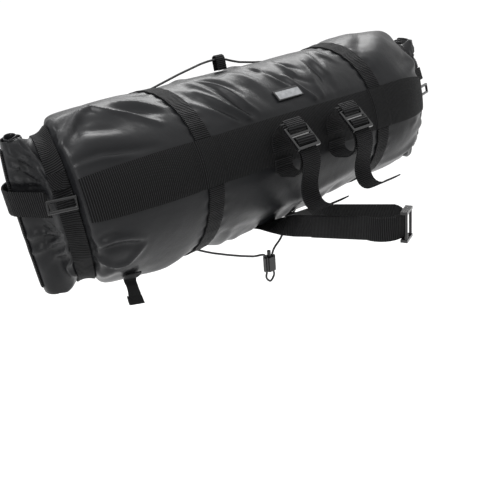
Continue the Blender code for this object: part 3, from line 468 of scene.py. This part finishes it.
def patch_material(low, high):
    """Light grey woven patch with a dark border, for a patch between two corners."""
    n = Nodes("grey_patch")
    uv = n.add("ShaderNodeUVMap").outputs["UV"]
    place = n.add("ShaderNodeTexCoord").outputs["Object"]
    weave = n.weave(uv, PATCH_WEAVE)
    tone = n.math("ADD", n.math("MULTIPLY", weave, 0.2), n.noise(place, 220.0))
    where = n.add("ShaderNodeSeparateXYZ", {0: place})
    edge = None
    for axis, key in ((0, "X"), (2, "Z")):
        middle, half = (low[axis] + high[axis]) / 2, (high[axis] - low[axis]) / 2
        away = n.math("ABSOLUTE", n.math("SUBTRACT", where.outputs[key], middle))
        away = n.math("SUBTRACT", away, half)
        edge = away if edge is None else n.math("MAXIMUM", edge, away)
    border = n.math("GREATER_THAN", edge, -PATCH_BORDER_WIDTH)
    field = n.ramp(tone, 0.2, 0.8, *PATCH_TONES)
    mixed = n.add("ShaderNodeMix", {0: border, 6: field, 7: PATCH_BORDER}, data_type="RGBA")
    n.set(Base_Color=mixed.outputs[2])
    n.set(Roughness=0.55)
    n.set(Normal=n.bump(weave, 0.4, 0.0002))
    return n.material


def cord_material():
    """Black braided elastic cord, with painted highlights on the braid's crests and painted shade
    in its grooves.
    """
    n = Nodes("elastic")
    uv = n.add("ShaderNodeUVMap").outputs["UV"]
    parts = n.add("ShaderNodeSeparateXYZ", {0: uv})
    along = n.math("MULTIPLY", parts.outputs["X"], 2 * math.pi / CORD_BRAID)
    round_it = n.math("MULTIPLY", parts.outputs["Y"], 2 * math.pi * 4)
    one = n.math("SINE", n.math("ADD", along, round_it))
    two = n.math("SINE", n.math("SUBTRACT", along, round_it))
    braid = n.zero_to_one(n.math("MULTIPLY", one, two))
    # Painted shade and highlight: the colour is dark in the braid's grooves and light on its crests
    n.set(Base_Color=n.ramp(braid, 0.1, 0.9, *CORD_SHADE_TO_HIGHLIGHT))
    n.set(Roughness=0.5)
    n.set(Normal=n.bump(braid, 0.6, 0.0004))
    return n.material


def floor_material():
    """Plain pale floor."""
    n = Nodes("pale_floor")
    n.set(Base_Color=FLOOR_TONE)
    n.set(Roughness=0.9)
    return n.material


def make_camera():
    """The photograph's camera."""
    back = Vector((math.sin(CAMERA_AZIMUTH) * math.cos(CAMERA_ELEVATION),
                   -math.cos(CAMERA_AZIMUTH) * math.cos(CAMERA_ELEVATION),
                   math.sin(CAMERA_ELEVATION)))
    level = Vector((math.cos(CAMERA_AZIMUTH), math.sin(CAMERA_AZIMUTH), 0))
    rise = back.cross(level)
    right = level * math.cos(CAMERA_ROLL) + rise * math.sin(CAMERA_ROLL)
    up = rise * math.cos(CAMERA_ROLL) - level * math.sin(CAMERA_ROLL)
    data = bpy.data.cameras.new("camera")
    data.lens = CAMERA_LENS
    data.sensor_width = SENSOR_WIDTH
    data.shift_x, data.shift_y = CAMERA_SHIFT
    data.clip_start = 0.01
    data.clip_end = 50.0
    made = add_object("camera", data)
    turned = Matrix((right, up, back)).transposed().to_4x4()
    made.matrix_world = Matrix.Translation(CAMERA_PLACE) @ turned
    bpy.context.scene.camera = made


def make_light(name, place, target, size, power):
    """A rectangular soft light aimed at a point."""
    data = bpy.data.lights.new(name, "AREA")
    data.shape = "RECTANGLE"
    data.size, data.size_y = size
    data.energy = power
    made = add_object(name, data)
    made.location = place
    made.rotation_mode = "QUATERNION"
    made.rotation_quaternion = (Vector(target) - Vector(place)).to_track_quat("-Z", "Y")


def make_studio():
    """Plain pale floor, soft lights and a sky that is dimmer towards the horizon."""
    world = bpy.context.scene.world or bpy.data.worlds.new("studio")
    bpy.context.scene.world = world
    world.use_nodes = True
    tree = world.node_tree
    toward = tree.nodes.new("ShaderNodeTexCoord")
    parts = tree.nodes.new("ShaderNodeSeparateXYZ")
    rise = tree.nodes.new("ShaderNodeMath")
    rise.operation = "MULTIPLY_ADD"
    rise.inputs[1].default_value = SKY_RISE
    rise.inputs[2].default_value = SKY_HORIZON
    tree.links.new(toward.outputs["Generated"], parts.inputs[0])
    tree.links.new(parts.outputs["Z"], rise.inputs[0])
    tree.nodes["Background"].inputs["Color"].default_value = (1.0, 1.0, 1.0, 1.0)
    tree.links.new(rise.outputs[0], tree.nodes["Background"].inputs["Strength"])
    corners = [(x * FLOOR_REACH, y * FLOOR_REACH, FLOOR_Z)
               for x, y in ((-1, -1), (1, -1), (1, 1), (-1, 1))]
    floor = add_piece("floor", corners, [(0, 1, 2, 3)])
    floor.data.materials.append(floor_material())
    for light in LIGHTS:
        make_light(*light)


def make_cord():
    """The free elastic cord."""
    line = cord_line(CORD_ROUTE)
    cord = tube("elastic_cord_line", line, CORD_DIAMETER / 2)
    finish_piece(cord, cord_material(), "elastic", "elastic_cord")


def ramp(value, low, high):
    """0 below low, 1 above high, smooth between, for arrays."""
    t = np.clip((value - low) / (high - low), 0.0, 1.0)
    return t * t * (3 - 2 * t)


def skewed(x, y, z):
    """How far the part's skewed ends move a place outwards along X, for numbers or arrays."""
    share = ramp(np.abs(x), LEAN_SHARES[0] * BODY_HALF, LEAN_SHARES[1] * BODY_HALF)
    left = LEAN[-1][0] * (z - AXIS_Z) + LEAN[-1][1] * (AXIS_Y - y)
    right = LEAN[1][0] * (z - AXIS_Z) + LEAN[1][1] * (AXIS_Y - y)
    return share * np.where(x > 0, right, -left)


def unskewed(points):
    """The X of points before the ends were skewed."""
    x, y, z = points.T
    base = x.copy()
    for _ in range(12):
        base = 0.4 * base + 0.6 * (x - skewed(base, y, z))
    return base


def outer_wall(node):
    """The outer wall of the fabric node as a quad mesh, without its inner wall."""
    bm = bmesh.new()
    bm.from_mesh(node.data)
    bmesh.ops.remove_doubles(bm, verts=bm.verts, dist=1e-5)
    left = set(bm.faces)
    walls = []
    while left:
        wall = [left.pop()]
        for face in wall:
            for edge in face.edges:
                if edge.calc_face_angle(0) < WALL_TURN:
                    found = [other for other in edge.link_faces if other in left]
                    left.difference_update(found)
                    wall += found
        walls.append(wall)
    walls.sort(key=len, reverse=True)
    girth = [max(math.hypot(v.co.y - AXIS_Y, v.co.z - AXIS_Z) for face in wall for v in face.verts)
             for wall in walls[:2]]
    kept = set(walls[girth.index(max(girth))])
    bmesh.ops.delete(bm, geom=[face for face in bm.faces if face not in kept], context="FACES")
    bmesh.ops.join_triangles(bm, faces=bm.faces, angle_face_threshold=math.radians(60),
                             angle_shape_threshold=math.radians(70))
    bmesh.ops.recalc_face_normals(bm, faces=bm.faces)
    return bm


def refine(mesh):
    """Shorten the mesh's long edges, so that it can carry folds."""
    bm = bmesh.new()
    bm.from_mesh(mesh)
    for along, low, high, cuts in ((False, 0.0062, 1.0, 2), (False, 0.0032, 0.0062, 1),
                                   (True, 0.0070, 1.0, 4), (True, 0.0034, 0.0070, 1)):
        chosen = []
        for edge in bm.edges:
            across = edge.verts[1].co - edge.verts[0].co
            lengthwise = abs(across.x) > 0.7 * across.length
            if low < across.length < high and lengthwise == along:
                chosen.append(edge)
        bmesh.ops.subdivide_edges(bm, edges=chosen, cuts=cuts, use_grid_fill=True)
    bm.to_mesh(mesh)
    bm.free()


def stroke_height(x, s, height, width, places):
    """The height that one fold adds at points x and s of a surface, in millimetres."""
    knots = np.array(places, float)
    lengths = np.concatenate([[0], np.cumsum(np.linalg.norm(np.diff(knots, axis=0), axis=1))])
    nearest = np.full(x.shape, 1e9)
    share = np.zeros(x.shape)
    for i in range(len(knots) - 1):
        a, b = knots[i], knots[i + 1]
        d = b - a
        t = np.clip(((x - a[0]) * d[0] + (s - a[1]) * d[1]) / (d @ d), 0, 1)
        far = np.hypot(x - a[0] - t * d[0], s - a[1] - t * d[1])
        closer = far < nearest
        nearest = np.where(closer, far, nearest)
        share = np.where(closer, (lengths[i] + t * (lengths[i + 1] - lengths[i])) / lengths[-1],
                         share)
    ends = np.sin(math.pi * np.clip(0.08 + 0.84 * share, 0, 1)) ** 0.7
    crease = np.exp(0.5 - np.hypot(nearest / width, 0.5))
    crest = np.exp(-(nearest / width) ** 2)
    skirt = np.exp(-(nearest / (SKIRT_WIDTH * width)) ** 2)
    return height * ends * (CREASE * crease + CREST * crest - SKIRT * skirt)


def turn_from(angle, middle):
    """The turn in degrees from a middle angle to each angle, the shorter way round."""
    return (angle - middle + 180) % 360 - 180


def placed_folds(x, angle, per_degree):
    """The height of the table's folds, in millimetres."""
    total = np.zeros(len(x))
    for height, width, places in FOLDS:
        middle = sum(a for _, a in places) / len(places)
        turned = turn_from(angle, middle) + middle
        total += stroke_height(x, turned * per_degree, height, width,
                               [(px, a * per_degree) for px, a in places])
    return total


def hidden_folds(x, angle, per_degree, total):
    """The height so far with that of the scattered folds added, in millimetres."""
    rng = np.random.default_rng(HIDDEN_SEED)
    for _ in range(HIDDEN_COUNT):
        px = rng.uniform(-HIDDEN_SPAN, HIDDEN_SPAN) + rng.choice((-1, 0, 1)) * HIDDEN_SHIFT
        pa = rng.uniform(*HIDDEN_ANGLES)
        slant = rng.uniform(-HIDDEN_SLANT, HIDDEN_SLANT)
        reach = rng.uniform(*HIDDEN_REACH)
        places = [(px + slant * d, (pa + d) * per_degree) for d in (-reach, 0, reach)]
        turned = turn_from(angle, pa) + pa
        height = rng.uniform(*HIDDEN_HEIGHT) * rng.choice((-1, 1))
        total += stroke_height(x, turned * per_degree, height, rng.uniform(*HIDDEN_WIDTH), places)
    return total


def gathers(x, angle, base):
    """The height of the gathers at both necks, weaker on the rider's side of the left one."""
    ends = ramp(base, *GATHER_START) * (1 - ramp(base, *GATHER_STOP))
    wave = np.sin(np.radians(angle) * GATHER_COUNT + 1.7 * np.sin(np.radians(angle) * 3)
                  + 0.02 * (base - BODY_HALF * MM))
    hidden = 1 - 0.85 * np.exp(-((angle - 30) / 75) ** 2) * (x < 0)
    return GATHER_HEIGHT * ends * wave * hidden


def fold_heights(points):
    """How far the folds move each point of the fabric along its normal, in metres."""
    x, y, z = points.T * MM
    angle = np.degrees(np.arctan2(z - AXIS_Z * MM, -(y - AXIS_Y * MM)))
    per_degree = math.radians(RADIUS * MM)
    total = hidden_folds(x, angle, per_degree, placed_folds(x, angle, per_degree))
    total += gathers(x, angle, np.abs(unskewed(points)) * MM)
    near_band = ramp(np.abs(np.abs(x) - BAND_X * MM), *BAND_CALM)
    pucker = (1 - near_band) * PUCKER_HEIGHT * np.sin(np.radians(angle) * PUCKER_COUNT + np.sign(x))
    off_strip = np.abs(turn_from(angle, sum(STRIP_ANGLES) / 2))
    calm_strip = ramp(off_strip, *STRIP_CALM)
    between = np.clip((BAND_X * MM - np.abs(x)) / (BAND_X * MM), 0, 1)
    swell = SWELL_HEIGHT * np.sin(math.pi * between)
    coarse, fine = CRUMPLE_SCALES
    small = np.array([noise.noise(Vector(p) * coarse) + 0.5 * noise.noise(Vector(p) * fine)
                      for p in points]) * CRUMPLE_HEIGHT
    total = (total + small + swell) * near_band * calm_strip + pucker * calm_strip
    return total / MM


def roll_heights(points):
    """Pleats on the outer turn of each rolled end, in metres."""
    x, y, z = points.T
    dx = np.abs(unskewed(points)) - (BODY_HALF + NECK_LENGTH)
    dy = y - AXIS_Y
    reach = np.hypot(dx, dy)
    around = np.abs(np.degrees(np.arctan2(dy, dx)))
    total = np.zeros(len(points))
    across = np.where(dx > 0, np.radians(90 - around) * ROLL_RADIUS, dx * MM) + ROLL_EDGE
    for level, way, count in ROLL_FANS:
        up = way * (z * MM - level)
        far = np.hypot(across, up)
        turn = np.arctan2(up, across)
        turn = turn + 0.10 * np.sin(2.5 * turn + far / 8) + 0.04 * np.sin(far / 5 + 1.3)
        pleat = 1 - 1.6 * np.abs(np.sin(turn * count / 2)) ** 0.9
        depth = ROLL_DEPTH * ramp(far, 2, 14) * (1 - 0.6 * ramp(far, 40, 62))
        total += pleat * depth * ramp(up, -14, -4) * (1 - 0.5 * np.sin(turn * 3 + way) ** 4)
    twist = np.array([noise.noise(Vector((a / 30, up * 60, 2.0))) for a, up in zip(around, z)])
    total += ROLL_TWIST * twist
    under_strap = 1 - np.exp(-((z - ROLL_STRAP_Z) / ROLL_STRAP_CALM) ** 4)
    under_lip = 0.25 + 0.75 * ramp(around, 22, 34)
    outer = ramp(reach, 0.0140, 0.0160)
    return total * under_strap * under_lip * outer / MM


def make_fabric():
    """The fabric tube: the part's outer wall, subdivided, then folded and creased."""
    bm = outer_wall(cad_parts["bag_body"])
    mesh = bpy.data.meshes.new("bag_fabric")
    bm.to_mesh(mesh)
    bm.free()
    made = add_object("bag_fabric", mesh)
    smooth = made.modifiers.new("smooth", "SUBSURF")
    smooth.levels = 2
    graph = bpy.context.evaluated_depsgraph_get()
    fine = bpy.data.meshes.new_from_object(made.evaluated_get(graph))
    made.modifiers.clear()
    made.data = fine
    refine(fine)
    count = len(fine.vertices)
    points = np.zeros(count * 3, np.float32)
    normals = np.zeros(count * 3, np.float32)
    fine.vertices.foreach_get("co", points)
    fine.vertex_normals.foreach_get("vector", normals)
    points = points.reshape(-1, 3).astype(float)
    normals = normals.reshape(-1, 3).astype(float)
    outward = points - np.array([0, AXIS_Y, AXIS_Z])
    outward[:, 0] = 0
    in_tube = 1 - ramp(np.abs(unskewed(points)), *TUBE_END)
    if (normals * outward * in_tube[:, None]).sum() < 0:
        normals = -normals
        fine.flip_normals()
    move = fold_heights(points) * in_tube + roll_heights(points) * (1 - in_tube)
    points = points + normals * move[:, None]
    fine.vertices.foreach_set("co", points.astype(np.float32).ravel())
    angle = np.arctan2(points[:, 2] - AXIS_Z, -(points[:, 1] - AXIS_Y))
    corners = np.zeros(len(fine.loops), np.int32)
    fine.loops.foreach_get("vertex_index", corners)
    layer = fine.uv_layers.new(name="UVMap")
    uv = np.stack([points[corners, 0], angle[corners] * RADIUS], axis=1)
    layer.data.foreach_set("uv", uv.astype(np.float32).ravel())
    fine.update()
    fine.shade_smooth()
    return finish_piece(made, fabric_material(), "coated_fabric", "bag_body")


def tree_of(piece):
    """A search tree of a finished mesh piece."""
    mesh = piece.data
    return BVHTree.FromPolygons([v.co for v in mesh.vertices],
                                [tuple(p.vertices) for p in mesh.polygons])


def on_fabric(tree, x, angle):
    """The place on the fabric at an unskewed x and an angle round the tube."""
    turn = math.radians(angle)
    start = Vector((x, AXIS_Y - 0.16 * math.cos(turn), AXIS_Z + 0.16 * math.sin(turn)))
    start.x += float(skewed(np.float64(x), start.y, start.z))
    end = Vector((x, AXIS_Y, AXIS_Z))
    place, _, _, _ = tree.ray_cast(start, (end - start).normalized())
    if place is None:
        raise ValueError("no fabric at %.3f, %.0f" % (x, angle))
    return place


def smoothed(grid, closed, times):
    """A grid of points with each eased towards its neighbours along and across."""
    for _ in range(times):
        if closed:
            before, after = np.roll(grid, 1, axis=0), np.roll(grid, -1, axis=0)
            grid = grid * 0.5 + (before + after) * 0.25
        else:
            inner = grid[1:-1] * 0.5 + (grid[:-2] + grid[2:]) * 0.25
            grid = np.concatenate([grid[:1], inner, grid[-1:]])
        inner = grid[:, 1:-1] * 0.5 + (grid[:, :-2] + grid[:, 2:]) * 0.25
        grid = np.concatenate([grid[:, :1], inner, grid[:, -1:]], axis=1)
    return grid


def grid_normals(grid, closed, outward):
    """Unit normals of a grid of points, turned to the side of the outward vectors."""
    if closed:
        along = np.roll(grid, -1, axis=0) - np.roll(grid, 1, axis=0)
    else:
        along = np.gradient(grid, axis=0)
    across = np.gradient(grid, axis=1)
    normal = np.cross(along, across)
    normal /= np.maximum(np.linalg.norm(normal, axis=2, keepdims=True), 1e-12)
    flip = np.sign((normal * outward).sum(axis=2, keepdims=True))
    return normal * np.where(flip == 0, 1, flip)


def solid_strip(name, grid, outward, lift, thickness, closed=False):
    """Webbing on a grid of rows: a rounded solid with its length and width as UV, in metres."""
    normal = grid_normals(grid, closed, outward)
    lift = np.asarray(lift, float)
    if lift.ndim < 2:
        lift = np.broadcast_to(lift.reshape(-1, 1), grid.shape[:2])
    low = grid + normal * lift[:, :, None]
    high = low + normal * thickness
    edge = 0.25 * thickness
    for side, inner in ((0, 1), (-1, -2)):
        inward = grid[:, inner] - grid[:, side]
        inward /= np.maximum(np.linalg.norm(inward, axis=1, keepdims=True), 1e-12)
        high[:, side] += inward * edge - normal[:, side] * edge * 0.3
        low[:, side] += inward * edge * 0.4 + normal[:, side] * edge * 0.3
    loop = np.concatenate([low, high[:, ::-1]], axis=1)
    rows, size = loop.shape[:2]
    cols = grid.shape[1]
    steps = np.linalg.norm(np.diff(grid.mean(axis=1), axis=0), axis=1)
    u = np.concatenate([[0], np.cumsum(steps)])
    v = np.concatenate([[0], np.cumsum(np.linalg.norm(np.diff(grid[0], axis=0), axis=1))])
    v = np.concatenate([v, v[::-1]])
    faces = []
    uvs = []
    last = rows if closed else rows - 1
    for i in range(last):
        k = (i + 1) % rows
        u1 = u[k] if k else u[-1] + steps.mean()
        for j in range(size):
            m = (j + 1) % size
            faces.append((i * size + j, i * size + m, k * size + m, k * size + j))
            uvs += [(u[i], v[j]), (u[i], v[m]), (u1, v[m]), (u1, v[j])]
    if not closed:
        for row in (0, rows - 1):
            cap = []
            for j in range(cols - 1):
                a, b = row * size + j, row * size + j + 1
                c, d = row * size + size - 2 - j, row * size + size - 1 - j
                cap.append((a, b, c, d) if row else (d, c, b, a))
                uvs += [(u[row], v[j])] * 4
            faces += cap
    made = add_piece(name, loop.reshape(-1, 3), faces, uvs)
    bm = bmesh.new()
    bm.from_mesh(made.data)
    bmesh.ops.recalc_face_normals(bm, faces=bm.faces)
    bm.to_mesh(made.data)
    bm.free()
    made.data.set_sharp_from_angle(angle=math.radians(50))
    return made


def draped_grid(tree, xs, angles, times=2, closed=False):
    """Rows of points on the fabric, one row for each angle."""
    places = np.array([[tuple(on_fabric(tree, x, angle)) for x in xs] for angle in angles])
    outward = places - np.array([0, AXIS_Y, AXIS_Z])
    outward[:, :, 0] = 0
    return smoothed(places, closed, times), outward


def make_bands(tree, webbing):
    """The two bands round the tube."""
    angles = [2.0 * k for k in range(180)]
    for name, centre in (("band_left", -BAND_X), ("band_right", BAND_X)):
        xs = [centre + BAND_WIDTH * (k / 8 - 0.5) for k in range(9)]
        grid, outward = draped_grid(tree, xs, angles, closed=True)
        made = solid_strip(name + "_webbing", grid, outward, 0.0005, WEBBING, closed=True)
        finish_piece(made, webbing, "webbing", name)


def make_strip(tree, webbing):
    """The wide webbing along the rider's side, which steps over both bands."""
    count = 244
    xs = [-STRIP_HALF + 2 * STRIP_HALF * k / count for k in range(count + 1)]
    low, high = STRIP_ANGLES
    angles = [low + (high - low) * k / 14 for k in range(15)]
    grid, outward = draped_grid(tree, xs, angles)
    grid = np.swapaxes(grid, 0, 1)
    outward = np.swapaxes(outward, 0, 1)
    off = np.abs(np.abs(np.array(xs)) - BAND_X)
    over_band = 1 - ramp(off, BAND_WIDTH / 2 + 0.0005, BAND_WIDTH / 2 + 0.005)
    lift = 0.0006 + (WEBBING + 0.0002) * over_band
    made = solid_strip("back_strip_webbing", grid, outward, lift, WEBBING)
    finish_piece(made, webbing, "webbing", "back_strip")


def make_closures(tree, webbing):
    """The straps round the two necks."""
    for side, tag in ((-1, "left"), (1, "right")):
        shares = [0.12 + 0.44 * k / 6 for k in range(7)]
        xs = [side * (BODY_HALF + share * NECK_LENGTH) for share in shares]
        angles = [3.0 * k for k in range(120)]
        grid, outward = draped_grid(tree, xs, angles, 3, closed=True)
        made = solid_strip("closure_strap_%s_webbing" % tag, grid, outward, 0.0005, WEBBING,
                           closed=True)
        finish_piece(made, webbing, "webbing", "closure_strap_" + tag)


def on_roll(tree, side, around, z):
    """The place on a rolled end at a height and an angle round the roll, and its way outwards."""
    turn = math.radians(around)
    away = np.array([side * math.cos(turn), math.sin(turn), 0.0])
    ends = []
    for reach in (0.05, 0.0):
        x, y, _ = np.array([side * (BODY_HALF + NECK_LENGTH), AXIS_Y, z]) + away * reach
        ends.append(Vector((x + float(skewed(np.float64(x), y, z)), y, z)))
    start, axis = ends
    place, _, _, _ = tree.ray_cast(start, (axis - start).normalized(), 0.05)
    return place, away


def make_lips(tree, webbing):
    """The stiff webbing that lies on the outer face of each roll."""
    for side, tag in ((-1, "left"), (1, "right")):
        low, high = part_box("lip_webbing_" + tag)
        rows, ways = [], []
        for k in range(57):
            z = low[2] + 0.003 + (high[2] - low[2] - 0.006) * k / 56
            hits = [on_roll(tree, side, -26 + 52 * j / 8, z) for j in range(9)]
            if all(place is not None for place, _ in hits):
                rows.append([tuple(place) for place, _ in hits])
                ways.append([tuple(way) for _, way in hits])
        grid = smoothed(np.array(rows), False, 3)
        made = solid_strip("lip_webbing_%s_webbing" % tag, grid, np.array(ways), 0.0004, WEBBING)
        finish_piece(made, webbing, "webbing", "lip_webbing_" + tag)


def length_uv(mesh, width_axis, start):
    """Give a strap's mesh its distance from one end as U and its place across as V."""
    bm = bmesh.new()
    bm.from_mesh(mesh)
    bmesh.ops.remove_doubles(bm, verts=bm.verts, dist=1e-5)
    bm.verts.ensure_lookup_table()
    start = Vector(start)
    first = min(bm.verts, key=lambda v: (v.co - start).length)
    axis = Vector(width_axis)

    def off(vert):
        away = vert.co - first.co
        return (away - axis * away.dot(axis)).length

    far = {v.index: 0.0 for v in bm.verts if off(v) < 0.002}
    queue = [(0.0, index) for index in far]
    heapq.heapify(queue)
    while queue:
        here, index = heapq.heappop(queue)
        if here > far[index]:
            continue
        for edge in bm.verts[index].link_edges:
            other = edge.other_vert(bm.verts[index])
            there = here + edge.calc_length()
            if there < far.get(other.index, 1e9) - 1e-9:
                far[other.index] = there
                heapq.heappush(queue, (there, other.index))
    layer = bm.loops.layers.uv.get("UVMap") or bm.loops.layers.uv.new("UVMap")
    for face in bm.faces:
        for loop in face.loops:
            loop[layer].uv = (far[loop.vert.index], loop.vert.co.dot(axis))
    bm.to_mesh(mesh)
    bm.free()


def copy_strap(node, webbing, width_axis, start, bevel=STRAP_BEVEL):
    """A carried strap with softened edges and ribs along its length."""
    made = add_object(node + "_webbing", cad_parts[node].data.copy())
    length_uv(made.data, width_axis, start)
    softened = made.modifiers.new("softened", "BEVEL")
    softened.width = bevel
    softened.segments = 2
    softened.limit_method = "ANGLE"
    softened.angle_limit = math.radians(60)
    made.data.shade_smooth()
    made.data.set_sharp_from_angle(angle=math.radians(50))
    return finish_piece(made, webbing, "webbing", node)


def shape_tab(tab):
    """Narrow the hanging tab below its top and thicken its folded hem."""
    bm = bmesh.new()
    bm.from_mesh(tab.data)
    long_edges = [edge for edge in bm.edges if edge.calc_length() > 0.004]
    bmesh.ops.subdivide_edges(bm, edges=long_edges, cuts=5, use_grid_fill=True)
    heights = [vert.co.z for vert in bm.verts]
    top, foot = max(heights), min(heights)
    near = [vert.co.copy() for vert in bm.verts if vert.co.z > top - 0.003]
    far = [vert.co.copy() for vert in bm.verts if vert.co.z < foot + 0.003]
    start, end = sum(near, Vector()) / len(near), sum(far, Vector()) / len(far)
    for vert in bm.verts:
        share = (start.z - vert.co.z) / (start.z - end.z)
        middle = start.lerp(end, share)
        waist = math.exp(-((share - 0.5) / 0.28) ** 2)
        vert.co.x = middle.x + (vert.co.x - middle.x) * (1 - 0.24 * waist)
        if share > 0.74:
            vert.co.y = middle.y + (vert.co.y - middle.y) * 1.8
    bm.to_mesh(tab.data)
    bm.free()


def make_straps(webbing):
    """The straps that keep the part's own shape."""
    for tag, side in (("left", -1), ("right", 1)):
        for name, width_axis, (x, y, z) in SIDE_STRAPS:
            copy_strap(name + tag, webbing, width_axis, (side * x, y, z))
    for name, width_axis, start in MIDDLE_STRAPS:
        copy_strap(name, webbing, width_axis, start)
    shape_tab(copy_strap("hang_tab", webbing, (1, 0, 0), HANG_TAB_START, TAB_BEVEL))
    for place in ("centre", "top_left", "top_right", "low_left", "low_right"):
        start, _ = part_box("cord_tab_" + place)
        copy_strap("cord_tab_" + place, webbing, (1, 0, 0), start, TAB_BEVEL)


def dress_nodes(plastic, patch):
    """Better materials for the carried nodes."""
    for name in ("bar_buckle_left", "bar_buckle_right", "steerer_slider", "closure_slider_left",
                 "closure_slider_right", "cord_lock"):
        set_material(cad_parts[name], plastic)
    set_material(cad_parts["label_patch"], patch)


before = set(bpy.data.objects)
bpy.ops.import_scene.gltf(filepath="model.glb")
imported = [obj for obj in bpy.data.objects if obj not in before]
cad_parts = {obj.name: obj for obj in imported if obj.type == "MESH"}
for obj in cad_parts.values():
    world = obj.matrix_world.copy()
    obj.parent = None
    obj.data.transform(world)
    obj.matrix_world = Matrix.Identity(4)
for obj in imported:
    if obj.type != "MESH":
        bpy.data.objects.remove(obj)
bpy.context.scene.view_settings.view_transform = "Standard"
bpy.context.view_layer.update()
make_camera()
make_cord()
fabric = make_fabric()
fabric_tree = tree_of(fabric)
webbing_look = webbing_material()
make_bands(fabric_tree, webbing_look)
make_strip(fabric_tree, webbing_look)
make_closures(fabric_tree, webbing_look)
make_lips(fabric_tree, webbing_look)
make_straps(webbing_look)
dress_nodes(plastic_material(), patch_material(*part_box("label_patch")))
make_studio()
